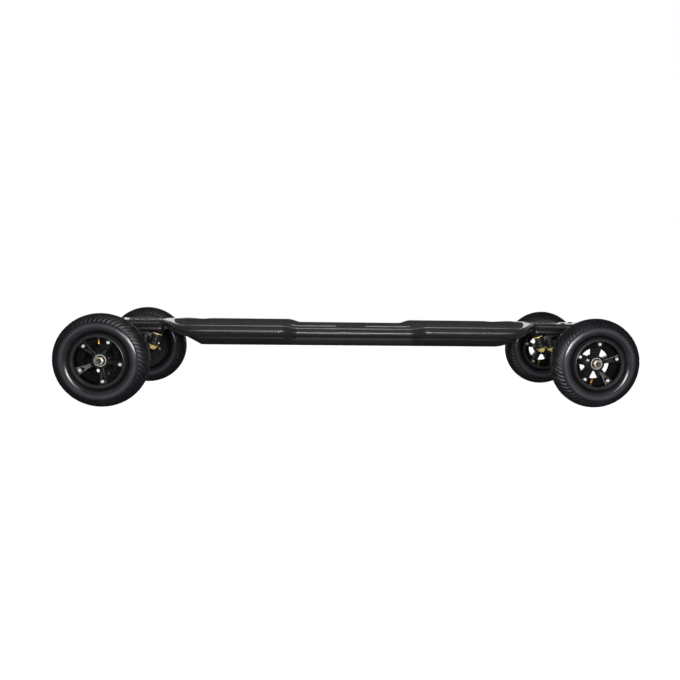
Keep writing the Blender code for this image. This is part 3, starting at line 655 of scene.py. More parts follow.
def build_deck():
    recess = block((COVER_X[0], -COVER_HALF_WIDTH, BELLY_BOTTOM - 0.01),
                   (COVER_X[1], COVER_HALF_WIDTH, BELLY_BOTTOM + 0.0041))
    cavity = block((COVER_X[0] + 0.009, -COVER_HALF_WIDTH + 0.009, BELLY_BOTTOM - 0.01),
                   (COVER_X[1] - 0.009, COVER_HALF_WIDTH - 0.009, 0.14))
    pocket = block((-0.319, -0.05, 0.1252), (COVER_X[0] + 0.013, 0.05, 0.1385))
    holes = [moved(rod(radius + GAP, -0.012, 0.006), port_place(y)) for y, radius in PORTS.values()]
    shell = cut(deck_mesh(), recess, cavity, pocket, *holes)
    coat(shell, "carbon", "carbon_satin")
    for face in shell.polygons:
        x, z = face.center.x, face.center.z
        face.material_index = 1 if z < underside(x) + 0.0012 and abs(x) < 0.372 else 0
    piece("deck", shell, "carbon", "deck", stands_for=["deck_shell"], sharp=40)


def grip_half_width(x):
    """Parallel to the edge of the deck, closing in a soft point at each end."""
    share = min(max((abs(x) - GRIP_START_OF_TIP) / (GRIP_END - GRIP_START_OF_TIP), 0), 1)
    tip = 0.1285 * max(1 - share ** 1.6, 0.0) ** 0.9
    return max(min(deck_half_width(x) - rail_size(x)[0] - 0.0015, tip), 0.0015)


def surface_strip(outline, low, high):
    """A thin sheet that follows the deck: outline gives, along X, its two edges in Y."""
    rings = []
    for x, right, left in outline:
        spots = np.linspace(right, left, 13)
        edge = min(0.0005, 0.2 * (left - right))
        under = [(x, y, deck_top(x, y) + low) for y in spots]
        top = [(x, y, deck_top(x, y) + high) for y in np.linspace(left - edge, right + edge, 13)]
        rings.append(under + top)
    return skin(rings)


def build_grip():
    stations = both_ways(np.concatenate([np.linspace(0, 0.3, 70), np.linspace(0.303, GRIP_END, 32)]))
    low, high = GRIP_LIFT, GRIP_LIFT + GRIP_THICKNESS
    sheet = [(x, -grip_half_width(x) + 0.001, grip_half_width(x) - 0.001) for x in stations[1:-1]]
    piece("grip_sheet", surface_strip(sheet, low, high), "grip", "deck", stands_for=["grip_tape"])
    for name, side in (("right", -1), ("left", 1)):
        edges = []
        for x in stations[2:-2]:
            outer = grip_half_width(x)
            edges.append((x, *sorted((side * outer, side * (outer - 0.0008)))))
        piece(f"grip_edge_{name}", surface_strip(edges, low + 0.0001, high + 0.0001), "edge_line", "deck")
    for name, start, stop in (("rear", -0.128, -0.034), ("front", 0.03, 0.125)):
        line = [(x, -0.0085, 0.0085) for x in np.linspace(start, stop, 24)]
        piece(f"centre_stripe_{name}", surface_strip(line, high, high + 0.0003), "stripe", "deck")


def build_belly():
    middle = sum(COVER_X) / 2
    half_x = (COVER_X[1] - COVER_X[0]) / 2 - GAP
    half_y = COVER_HALF_WIDTH - GAP
    plate = prism(rounded_rectangle(half_x, half_y, 0.0015, 3), BELLY_BOTTOM, BELLY_BOTTOM + COVER_THICKNESS)
    spots = [(x, side * (half_y - 0.006)) for side in (-1, 1) for x in np.linspace(-0.92, 0.92, 8) * half_x]
    spots += [(side * (half_x - 0.006), y) for side in (-1, 1) for y in (-0.045, 0.045)]
    sinks = [shifted(rod(0.003, -0.01, 0.0012, 20), x, y, BELLY_BOTTOM) for x, y in spots]
    ribs = [block((-0.8 * half_x, y - 0.0012, BELLY_BOTTOM - 0.01),
                  (0.8 * half_x, y + 0.0012, BELLY_BOTTOM + 0.0008)) for y in np.linspace(-0.072, 0.072, 9)]
    cover = softened(cut(plate, *sinks, *ribs), 0.0003, 1)
    piece("belly_plate", cover, "cover", "deck", at(middle), ["belly_cover"])
    screw = socket_screw(0.0026, 0.001, 0.0012)
    for i, (x, y) in enumerate(spots, 1):
        seat = at(middle + x, y, BELLY_BOTTOM + 0.0011) @ FLIPPED
        piece(f"cover_screw_{i}", screw, "dull_steel", "deck", seat)


def build_ports():
    y, radius = PORTS["charge_port"]
    place = port_place(y)
    flange, face = 0.01, 0.0016
    socket = turned([(0.0045, -0.008), (0.0045, 0.0014), (0.0047, face), (flange - 0.0004, face),
                     (flange, 0.0012), (flange, GAP), (radius, GAP), (radius, -0.0105), (0.0005, -0.0105),
                     (0.0005, -0.008)], True)
    pin = turned([(0.001, -0.0079), (0.001, -0.0012), (0.0006, -0.0007)], count=16)
    piece("charge_socket", socket, "plastic", "deck", place, ["charge_port"])
    piece("charge_pin", pin, "gold", "deck", place)

    to_hinge = flange + 0.001
    lid = turned([(flange - 0.0006, -0.001), (flange, -0.0005), (flange, 0.0006), (flange - 0.0008, 0.001),
                  (0.006, 0.001), (0.0054, 0.0006), (0.001, 0.0006)])
    tab = block((-0.004, 0, -0.0009), (0.004, to_hinge + 0.001, 0.0009))
    lid = softened(shifted(united(lid, tab), y=-to_hinge), 0.0002, 1)
    piece("charge_cap", lid, "rubber", "charge_port_cap", place @ at(0, to_hinge, face + GAP + 0.001),
          ["charge_port_cap"])

    y, radius = PORTS["power_button"]
    button = turned([(0.0058, -0.004), (0.0062, -0.0036), (0.0062, 0.0015), (0.0058, 0.002), (0.005, 0.0024),
                     (0.0042, 0.0024), (0.0034, 0.0019), (0.0005, 0.0017)])
    bezel = sleeve(0.0065, radius, -0.004, 0.0009, 0.0001)
    piece("power_key", button, "bare_alloy", "power_button", port_place(y), ["power_button"])
    piece("power_key_bezel", bezel, "plastic", "deck", port_place(y))

    y, radius = PORTS["motor_cable_gland"]
    gland = turned([(radius, -0.0055), (radius, GAP), (0.0075, GAP), (0.0075, 0.0018, 6), (0.007, 0.0022, 6),
                    (0.005, 0.0026), (0.0048, 0.0036), (0.0042, 0.004), (0.0022, 0.004), (0.002, 0.001)])
    piece("cable_gland", gland, "rubber", "deck", port_place(y), ["motor_cable_gland"])


# ---------------------------------------------------------------- trucks
# A truck is worked out in its own frame: x runs outboard along the steering axes, z runs up
# along the kingpins, and the origin is the centre of the inner kingpin's upper washer face.
def truck_place(end):
    return ENDS[end] @ at(*STACK_TOP) @ Matrix.Rotation(-TRUCK_TILT, 4, "Y")


def side_plate(outline, half_width):
    """Extrude an outline of (x, z) points to both sides of the middle plane."""
    return along_y(prism([(x, -z) for x, z in outline], -half_width, half_width))


def baseplate_mesh():
    """The plate under the nose with its slanted boss and its pivot socket."""
    low_x, high_x = 0.391, 0.497
    outline = rounded_rectangle((high_x - low_x) / 2, 0.03, 0.008)
    plate = shifted(prism(outline, PLATE_BOTTOM, PLATE_TOP + 0.002), x=(low_x + high_x) / 2)
    tilted = truck_place("front")
    boss = moved(rod(0.011, 0.0004, 0.022), tilted)
    pivot_block = moved(block((SOCKET_X[0], -0.009, -0.0225), (SOCKET_X[1], 0.009, -0.008)), tilted)
    above = block((low_x - 0.02, -0.05, PLATE_TOP), (high_x + 0.02, 0.05, PLATE_TOP + 0.03))
    bore = moved(rod(0.0052, -0.01, 0.02), tilted)
    head_recess = moved(rod(0.007, 0.0046, 0.03), tilted)
    pin_socket = shifted(along_x(rod(0.0048, SOCKET_X[0] - 0.002, SOCKET_X[1] - 0.0012)), z=INNER_PIVOT)
    bolt_holes = [shifted(rod(0.0026, 0.12, 0.15, 24), x=x, y=y) for x, y in TRUCK_BOLTS]
    base = united(plate, boss, pivot_block)
    base = cut(base, above, bore, head_recess, moved(pin_socket, tilted), *bolt_holes)
    return softened(base, 0.0006)


def knuckle_mesh():
    """The middle link: a ring on the inner kingpin, an arm over the outer one, and both pivots."""
    outline = [
        (0.008, INNER_RING[1]), (0.0094, INNER_RING[1]), (0.0094, -0.0055), (0.011, -0.004),
        (0.024, -0.004), (LUG_X[1], -0.0118), (LUG_X[1], -0.03), (LUG_X[0], -0.03),
        (LUG_X[0], -0.0113), (0.0119, -0.0113), (0.0119, -0.0165), (0.0102, INNER_RING[0]),
        (0.008, INNER_RING[0]),
    ]
    collar = rod(0.0102, *INNER_RING)
    pin = shifted(along_x(rod(0.0042, LUG_X[1] - 0.003, SOCKET_X[1] - 0.0022)), z=INNER_PIVOT)
    inner_hole = rod(0.0063, INNER_RING[0] - 0.01, 0.0)
    outer_hole = shifted(rod(0.0043, -0.03, 0.01), x=KINGPIN_SPACING)
    head_recess = shifted(rod(0.0062, -0.0075, 0.01), x=KINGPIN_SPACING)
    socket = shifted(along_x(rod(0.0045, LUG_X[0] - 0.004, LUG_X[1] - 0.0012)), z=OUTER_PIVOT)
    made = united(side_plate(outline, 0.009), collar, pin)
    made = cut(made, inner_hole, outer_hole, head_recess, socket)
    return softened(made, 0.0005)


def hanger_mesh():
    """The cross beam that carries the axle, with its ring on the outer kingpin."""
    axle = truck_place("front").inverted() @ Vector((AXLE_X, 0, WHEEL_RADIUS))
    half = [(0.0135, 0.015), (0.0128, 0.023), (0.0112, 0.042), (BEAM_RADIUS, 0.06), (BEAM_RADIUS, 0.1058),
            (0.01, 0.1063), (0.0085, 0.1063), (0.0085, 0.14), (0.008, 0.1405)]
    beam = shifted(along_y(turned(mirrored(half))), x=axle.x, z=axle.z)
    neck_outline = [
        (0.025, OUTER_RING[1]), (0.0375, OUTER_RING[1]), (0.0375, -0.031), (0.05, -0.047),
        (0.05, -0.056), (0.037, -0.056), (0.031, -0.04), (0.031, OUTER_RING[0]),
        (0.025, OUTER_RING[0]),
    ]
    collar = shifted(rod(0.0103, *OUTER_RING), x=KINGPIN_SPACING)
    pin = shifted(along_x(rod(0.004, 0.0355, LUG_X[1] - 0.002)), z=OUTER_PIVOT)
    hole = shifted(rod(0.0058, -0.05, -0.01), x=KINGPIN_SPACING)
    axle_hole = shifted(along_y(rod(AXLE_RADIUS + GAP, -0.16, 0.16)), x=axle.x, z=axle.z)
    made = cut(united(beam, side_plate(neck_outline, 0.011), collar, pin), hole, axle_hole)
    return softened(made, 0.0006)


def cup_washer(bore):
    """A dished washer seated at Z = 0 whose rim turns down over the bushing."""
    rim = 0.01
    return turned([(bore, 0), (rim - 0.001, 0), (rim - 0.0003, -0.0003), (rim, -0.001), (rim, -0.002),
                   (rim - 0.0004, -0.0022), (rim - 0.0008, -0.002), (rim - 0.0008, -0.0013),
                   (rim - 0.0012, -0.001), (bore, -0.001)], True)


def kingpin_mesh(shaft, head, head_span, end):
    low, high = head_span
    socket = 0.0036
    return turned([(shaft - 0.0005, end), (shaft, end + 0.0005), (shaft, low), (head, low),
                   (head, high - 0.0006), (head - 0.0006, high), (0.004, high), (socket, high - 0.0002, 6),
                   (socket, high - 0.003, 6)])


def bushing_mesh(low, high):
    """A barrel of urethane round the kingpin, with softened shoulders."""
    bulge = [(0.0078, 0.0), (0.0081, 0.05), (0.0081, 0.22), (0.0084, 0.4), (0.0084, 0.6), (0.0081, 0.78),
             (0.0081, 0.95), (0.0078, 1.0)]
    outer = [(r, low + share * (high - low)) for r, share in bulge]
    inner = [(0.0056, high - share * (high - low)) for share in np.linspace(0, 1, 7)]
    return turned(outer + inner, True)


def build_truck(end, base, link, beam):
    place = truck_place(end)
    outer_place = place @ at(KINGPIN_SPACING)
    knuckle, hanger = f"{end}_knuckle", f"{end}_hanger"
    add = group(end)
    add("base", base, "black_alloy", "deck", ENDS[end], "baseplate")
    add("link", link, "black_alloy", knuckle, place, "knuckle")
    add("beam", beam, "black_alloy", hanger, place, "hanger")

    kingpins = (
        ("inner", place, "deck", kingpin_mesh(0.0048, 0.0062, (0.0049, 0.0108), -0.0362), 0.0049,
         "gold", 0.0, -0.029),
        ("outer", outer_place, knuckle, kingpin_mesh(0.004, 0.0058, (-0.0072, -0.0044), -0.042), 0.0041,
         "black_alloy", -0.0116, -0.035),
    )
    for name, spot, body, bolt, bore, upper_finish, upper, nut_top in kingpins:
        nut_place = spot @ at(z=nut_top) @ FLIPPED
        add(f"{name}_kingpin_bolt", bolt, "dull_steel", body, spot, f"{name}_kingpin")
        add(f"{name}_upper_washer", cup_washer(bore), upper_finish, body, spot @ at(z=upper), slot="gold")
        add(f"{name}_lower_washer", cup_washer(bore), "gold", body, nut_place @ at(z=-0.0001))
        add(f"{name}_lock_nut", lock_nut(0.0064, 0.0048, bore, 0.0018), "gold", body, nut_place)

    cushions = (
        ("inner_upper", INNER_RING[1] + GAP, -0.001 - GAP, place, ("deck", knuckle), True),
        ("inner_lower", -0.028 + GAP, INNER_RING[0] - GAP, place, ("deck", knuckle), False),
        ("outer_upper", OUTER_RING[1] + GAP, -0.0126 - GAP, outer_place, (knuckle, hanger), True),
        ("outer_lower", -0.034 + GAP, OUTER_RING[0] - GAP, outer_place, (knuckle, hanger), False),
    )
    for name, low, high, spot, bodies, washer_above in cushions:
        ends = [spot @ Vector((0, 0, z)) for z in ((high, low) if washer_above else (low, high))]
        add(f"{name}_cushion", bushing_mesh(low, high), "rubber", None, spot, f"{name}_bushing",
            blend=(bodies, *ends))

    nose_bolt = socket_screw(0.0046, 0.0014, 0.0022)
    bolt_nut = lock_nut(0.004, 0.003, 0.0025, 0.0012)
    stud = turned([(0.002, -0.027), (0.0024, -0.0266), (0.0024, -0.0001)], count=20)
    for i, (x, y) in enumerate(TRUCK_BOLTS, 1):
        top = ENDS[end] @ at(x, y, NOSE_TOP)
        add(f"truck_bolt_{i}", nose_bolt, "black_alloy", "deck", top, slot="steel")
        add(f"truck_nut_{i}", bolt_nut, "steel", "deck", ENDS[end] @ at(x, y, PLATE_BOTTOM) @ FLIPPED)
        add(f"truck_stud_{i}", stud, "steel", "deck", top)

    tip = AXLE_HALF_LENGTH
    axle = turned(mirrored([(AXLE_RADIUS, tip - 0.0008), (AXLE_RADIUS - 0.0006, tip),
                            (AXLE_RADIUS - 0.0016, tip), (0.0012, tip - 0.0008)]))
    add("axle_rod", along_y(axle), "dull_steel", hanger, ENDS[end] @ at(AXLE_X, 0, WHEEL_RADIUS), "axle")


# ---------------------------------------------------------------- wheels
# A wheel is worked out about Z with its outboard side up, then laid over to its side.
def wheel_place(end, side):
    sign = SIDES[side]
    return at(AXLE_X if end == "front" else -AXLE_X, sign * HALF_TRACK, WHEEL_RADIUS) @ turn("X", -90 * sign)


def tread_depth(angles, across):
    """How deep the tread is cut at each angle and place across: long and short curved grooves in turn."""
    share = np.abs(across) / TREAD_HALF
    inward = np.clip(1 - share, 0, 1)
    slant = TREAD_SWEEP * (0.55 + 0.9 * inward) * WHEEL_RADIUS / TREAD_HALF
    pitch = math.tau / TREAD_PITCHES
    depth = np.zeros((len(angles), len(across)))
    for offset, inner, width in ((0.0, 0.14, 0.0038), (0.5, 0.46, 0.0034)):
        line = offset * pitch - TREAD_SWEEP * (0.55 * inward + 0.45 * inward ** 2)
        away = np.mod(angles[:, None] - line[None, :] + pitch / 2, pitch) - pitch / 2
        distance = np.abs(away) * WHEEL_RADIUS / np.sqrt(1 + slant ** 2)
        taper = np.clip((share - inner) / 0.12, 0, 1)
        half = width / 2 * (0.45 + 0.55 * np.clip(share / 0.8, 0, 1)) * taper
        depth = np.maximum(depth, TREAD_DEPTH * np.clip((half - distance) / 0.0007 + 0.5, 0, 1) * (taper > 0))
    fade = np.clip((1.0 - share) / 0.05, 0, 1)
    return depth * fade


def tyre_mesh():
    """A hollow casing with a bulging wall and a cut tread, open towards the rim."""
    wall = smooth_line([(0.0477, 0.0196), (0.05, 0.0186), (0.053, 0.018), (0.055, 0.019), (0.0566, 0.0216),
                        (0.0596, 0.0239), (0.063, 0.0249), (0.0658, 0.025), (0.0694, 0.0241),
                        (0.0718, 0.0228)], 4)
    ridge = np.zeros(len(wall))
    for radius, height in ((0.058, 0.0003), (0.0714, 0.0006)):
        ridge += height * np.exp(-((wall[:, 0] - radius) / 0.0007) ** 2)
    wall[:, 1] = np.minimum(wall[:, 1] + ridge, 0.025)
    crown = smooth_line([(0.0729, 0.0224), (0.0758, 0.0215), (0.079, 0.0199), (0.082, 0.0175),
                         (0.0844, 0.0142), (0.0861, 0.0098), (0.0871, 0.0049), (0.0875, 0.0)], 6)
    half = np.concatenate([wall, crown])
    outer = np.concatenate([half, half[-2::-1] * (1, -1)])
    inner = np.array([(0.0477, -0.0165), (0.06, -0.0205), (0.072, -0.0195), (0.081, -0.013), (0.0838, 0.0),
                      (0.081, 0.013), (0.072, 0.0195), (0.06, 0.0205), (0.0477, 0.0165)])
    steps = TREAD_PITCHES * 28
    angles = np.arange(steps) * math.tau / steps
    across = np.concatenate([[0], np.cumsum(np.hypot(*np.diff(outer, axis=0).T))])
    depth = tread_depth(angles, across - across[-1] / 2)
    depth[:, :len(wall)] = 0
    depth[:, -len(wall):] = 0
    radii = np.concatenate([outer[None, :, 0] - depth, np.repeat(inner[None, :, 0], steps, axis=0)], axis=1)
    heights = np.concatenate([outer[:, 1], inner[:, 1]])
    rings = np.stack([radii * np.cos(angles)[:, None], radii * np.sin(angles)[:, None],
                      np.repeat(heights[None, :], steps, axis=0)], axis=-1)
    mesh = skin(rings, True)
    places = np.empty(len(mesh.vertices) * 3)
    mesh.vertices.foreach_get("co", places)
    # painted highlight: a soft ring round the side wall, kept on the mesh for the rubber's base colour
    highlight_ring = np.exp(-((np.hypot(places[0::3], places[1::3]) - HIGHLIGHT_RING_RADIUS) / HIGHLIGHT_RING_WIDTH) ** 2)
    mesh.attributes.new("highlight_ring", "FLOAT", "POINT").data.foreach_set("value", highlight_ring.astype(np.float32))
    coat(mesh, "tyre_wall", "tyre_tread", "tyre_bead_painted_shade")
    centres = np.empty(len(mesh.polygons) * 3)
    mesh.polygons.foreach_get("center", centres)
    reach = np.hypot(centres[0::3], centres[1::3])
    # the faces next to the rim take the near-black rubber, painted shade in the groove there; the tread takes
    # its own rubber
    mesh.polygons.foreach_set("material_index", np.select([reach > 0.0722, reach < 0.0552], [1, 2], 0))
    return mesh


def spoke_mesh(hub_height, rim_height):
    """A channelled spoke along X that widens to a pad for its bolt: two ribs with a pocket between them."""
    start, stop = SPOKE_SPAN
    stations = ((start, 0.0036, 0.0), (0.0165, 0.0038, 0.3), (0.0205, 0.0042, 1.0), (0.029, 0.0054, 1.0),
                (0.0345, 0.0063, 1.0), (0.0366, 0.0066, 0.25), (0.04, 0.0072, 0.2), (0.0432, 0.0078, 0.25),
                (stop, 0.0086, 0.9))
    rings = []
    for radius, half, pocket in stations:
        share = (radius - start) / (stop - start)
        top = hub_height + (rim_height - hub_height) * share ** 1.2
        floor = top - 0.0003 - 0.0042 * pocket
        rib, edge = 0.0016, 0.0005
        profile = [(half, GAP), (half, top - edge), (half - 0.3 * edge, top - 0.3 * edge), (half - edge, top),
                   (half - rib + 0.0003, top), (half - rib, top - 0.0004), (half - rib - 0.0004, floor)]
        rings.append([(radius, y, z) for y, z in profile] + [(radius, -y, z) for y, z in reversed(profile)])
    return skin(rings)


def rim_half_mesh(hub_height, rim_height, web):
    """Half of a split rim: barrel with its rolled lip and inner web, hub, and five channelled spokes."""
    lip = [(0.0472, 0.0002), (0.0472, 0.0204), (0.0478, 0.021), (0.0496, 0.0216), (0.0504, 0.0223),
           (0.0504, 0.0237), (0.05, 0.0243), (0.0493, 0.0243), (0.049, 0.0238), (0.0488, 0.0226),
           (0.0482, 0.022), (0.0462, 0.0217), (0.0456, 0.0221), (0.0449, 0.0221), (0.0444, 0.0215),
           (0.044, 0.0196), (0.044, web + 0.0004), (0.0308, web), (0.0303, web - 0.0006), (0.0303, 0.0002)]
    barrel = turned(lip, True, 96)
    hub = turned([(HUB_BORE, 0.0002), (HUB_RADIUS, 0.0002), (HUB_RADIUS, hub_height - 0.0006),
                  (HUB_RADIUS - 0.0006, hub_height), (HUB_BORE + 0.0005, hub_height),
                  (HUB_BORE, hub_height - 0.0005)], True, 60)
    spoke = spoke_mesh(hub_height - 0.0009, rim_height)
    hole = shifted(rod(0.0019, -0.01, 0.03, 20), x=0.0332)
    angles = [turn("Z", 360 / SPOKES * i) for i in range(SPOKES)]
    spokes = [moved(spoke, angle) for angle in angles]
    holes = [moved(hole, angle) for angle in angles]
    made = cut(united(barrel, hub, *spokes), *holes)
    coat(made, "rim", "rim_lip_painted_light", "barrel")
    # the lip takes the lighter copy of the paint as painted light; the inside of the barrel and the web take
    # the near-black copy as painted shade
    for face in made.polygons:
        reach, deep = face.center.xy.length, abs(face.center.z)
        if reach > 0.0436:
            face.material_index = 1 if deep > 0.0198 else 2
        elif deep < web + 0.0006:
            face.material_index = 2
    return made


def bearing_meshes(low, high):
    """The races and the seal of a hub bearing, each with its name and finish."""
    return (("outer_race", sleeve(0.0099, 0.0111, low, high), "steel"),
            ("inner_race", sleeve(0.0052, 0.0064, low, high - 0.0004), "steel"),
            ("seal", sleeve(0.0066, 0.0097, low + 0.0004, high - 0.0004, 0.0002), "seal"))


def valve_meshes():
    """The stem and the cap of a valve that points from the barrel towards the hub, along -X from its seat."""
    stem = [(0.0034, 0.0), (0.0034, 0.0022), (0.0026, 0.003), (0.0026, 0.0048), (0.0021, 0.005),
            (0.0021, 0.0056)]
    cap = [(0.0028, 0.0058), (0.0031, 0.0061)]
    for low in np.arange(5) * 0.001 + 0.0066:
        cap += [(0.0031, low), (0.0029, low + 0.0003), (0.0029, low + 0.0006)]
    cap += [(0.003, 0.012), (0.0024, 0.0128), (0.001, 0.013)]
    lay = at(0.044, 0, 0.0085) @ turn("Y", -90)
    return [moved(turned(profile, count=24), lay) for profile in (stem, cap)]


def build_wheels():
    tyre = tyre_mesh()
    outer = rim_half_mesh(HUB_FACE, 0.018, 0.002)
    inner = moved(rim_half_mesh(0.019, 0.015, 0.006), FLIPPED)
    bolt = socket_screw(0.003, 0.0026, 0.0014)
    rim_nut = lock_nut(0.0029, 0.0024, 0.0014, 0.001)
    axle_bore = AXLE_RADIUS + 0.0002
    nut = shifted(lock_nut(0.0069, 0.005, axle_bore, 0.0024), z=HUB_FACE + 0.0002)
    washer = sleeve(axle_bore, 0.0066, HUB_FACE - 0.0003, HUB_FACE + 0.0001, 0.0001)
    spacer = sleeve(AXLE_RADIUS + 0.0003, 0.0068, -0.0117, 0.0038)
    stem, cap = valve_meshes()
    for end, side in WHEELS:
        wheel = f"{end}_{side}"
        add = group(wheel)
        body, hanger = f"{wheel}_wheel", f"{end}_hanger"
        place = wheel_place(end, side)
        phase = place @ turn("Z", RIM_PHASE[wheel])
        rolling = place @ FLIPPED if side == "left" else place
        add("treaded_tyre", tyre, "tyre", body, rolling, "tyre", sharp=38)
        add("outer_rim", outer, "black_alloy", body, phase, "rim_outer")
        add("inner_rim", inner, "black_alloy", body, phase, "rim_inner")
        add("bearing_spacer", spacer, "bare_alloy", body, place)
        for label, span in (("outer", (0.0042, HUB_FACE)), ("inner", (-0.0186, -0.012))):
            for part, mesh, finish in bearing_meshes(*span):
                add(f"{label}_bearing_{part}", mesh, finish, body, place)
        for i in range(SPOKES):
            spoke = phase @ turn("Z", 360 / SPOKES * i)
            add(f"rim_bolt_{i + 1}", bolt, "steel", body, spoke @ at(BOLT_CIRCLE, 0, 0.0152))
            add(f"rim_nut_{i + 1}", rim_nut, "steel", body, spoke @ FLIPPED @ at(BOLT_CIRCLE, 0, 0.0124))
        valve = place @ turn("Z", VALVE_ANGLE[wheel])
        if wheel == "front_left":
            valve = valve @ FLIPPED
        add("valve_stem", stem, "rubber", body, valve)
        add("valve_cap", cap, "amber", body, valve)
        add("lock_nut", nut, "pale_gold", hanger, place, "axle_nut")
        add("axle_washer", washer, "steel", hanger, place)


# ---------------------------------------------------------------- rear belt drives
def polar(radius, angle, middle=0.0):
    """A point round a middle on the X axis."""
    return middle + radius * math.cos(angle), radius * math.sin(angle)


def pitch_radius(teeth):
    return teeth * BELT_PITCH / math.tau


def toothed_outline(teeth):
    """Round-cornered teeth, with their tips a little under the belt's pitch line."""
    tip = pitch_radius(teeth) - 0.0005
    corners = ((-0.27, 0.15), (-0.2, 0.0), (0.2, 0.0), (0.27, 0.15), (0.36, 0.9), (0.5, 1.0), (0.64, 0.9))
    return [polar(tip - drop * TOOTH_DEPTH, math.tau * (i + share) / teeth)
            for i in range(teeth) for share, drop in corners]


def belt_loop(grow):
    """The belt's path, grown outwards: arcs round the gear and the pulley joined by straight runs."""
    big, small = pitch_radius(GEAR_TEETH), pitch_radius(PULLEY_TEETH)
    wrap = math.acos((big - small) / MOTOR_DISTANCE)
    straight = math.sqrt(MOTOR_DISTANCE ** 2 - (big - small) ** 2)
    round_gear = big * (math.tau - 2 * wrap)
    total = round_gear + small * 2 * wrap + 2 * straight

    def run(share, angle):
        gear_end = Vector(polar(big + grow, angle))
        return gear_end.lerp(Vector(polar(small + grow, angle, MOTOR_DISTANCE)), share)

    outline = []
    for s in np.linspace(0, total, 16 * round(total / BELT_PITCH), False):
        if s < round_gear:
            point = polar(big + grow, wrap + s / big)
        elif s < round_gear + straight:
            point = run((s - round_gear) / straight, -wrap)
        elif s < total - straight:
            point = polar(small + grow, (s - round_gear - straight) / small - wrap, MOTOR_DISTANCE)
        else:
            point = run((total - s) / straight, wrap)
        outline.append(point)
    return outline


def gear_mesh(name):
    low, high = BELT_LOW - 0.0005, BELT_HIGH + 0.0005
    teeth = prism(toothed_outline(GEAR_TEETH), low, high)
    bore = rod(0.041, low - 0.01, BELT_HIGH - 0.005, 96)
    centre = rod(0.0135, 0, 0.2, 60)
    hub = sleeve(0.0135, 0.0175, low, BELT_HIGH - 0.001, 0.0003, 60)
    shift = math.radians(25 if name == "rear_right" else 50)
    hole = rod(0.0036, 0, 0.2, 32)
    post = rod(0.004, BELT_HIGH - 0.002, HALF_TRACK - 0.0165 - GAP, 24)
    angles = [math.radians(RIM_PHASE[name]) + math.tau * i / SPOKES for i in range(SPOKES)]
    holes = [shifted(hole, *polar(0.0315, angle + shift)) for angle in angles]
    posts = [shifted(post, *polar(GEAR_POST_CIRCLE, angle)) for angle in angles]
    return softened(united(cut(teeth, bore, centre, *holes), hub, *posts), 0.0003, 1)


def loop_plate(big, small, low, high):
    """A plate with two round ends, one at the axle and one at the motor."""
    wrap = math.degrees(math.acos((big - small) / MOTOR_DISTANCE))
    outline = arc((0, 0), (big, big), wrap, 360 - wrap, 28)
    outline += arc((MOTOR_DISTANCE, 0), (small, small), -wrap, wrap, 28)
    return prism(outline, low, high)


def motor_mesh():
    """The motor's can, with two grooves round it and vents in its inner face."""
    start, stop = MOTOR_SPAN
    profile = [(0.009, start), (0.0095, start + 0.0006), (0.019, start + 0.0014),
               (MOTOR_RADIUS - 0.001, start + 0.0034), (MOTOR_RADIUS, start + 0.005)]
    groove_floor = MOTOR_RADIUS - 0.0007
    for low in (start + 0.0105, stop - 0.0125):
        profile += [(MOTOR_RADIUS, low), (groove_floor, low + 0.0007), (groove_floor, low + 0.0015),
                    (MOTOR_RADIUS, low + 0.0022)]
    profile += [(MOTOR_RADIUS, stop - 0.002), (MOTOR_RADIUS - 0.0012, stop - 0.0004),
                (MOTOR_RADIUS - 0.002, stop)]
    vent = block((0.0125, -0.0024, start - 0.002), (0.0185, 0.0024, start + 0.004))
    vents = [moved(vent, turn("Z", 45 * i)) for i in range(8)]
    return softened(cut(turned(profile, count=72), *vents), 0.0002, 1)


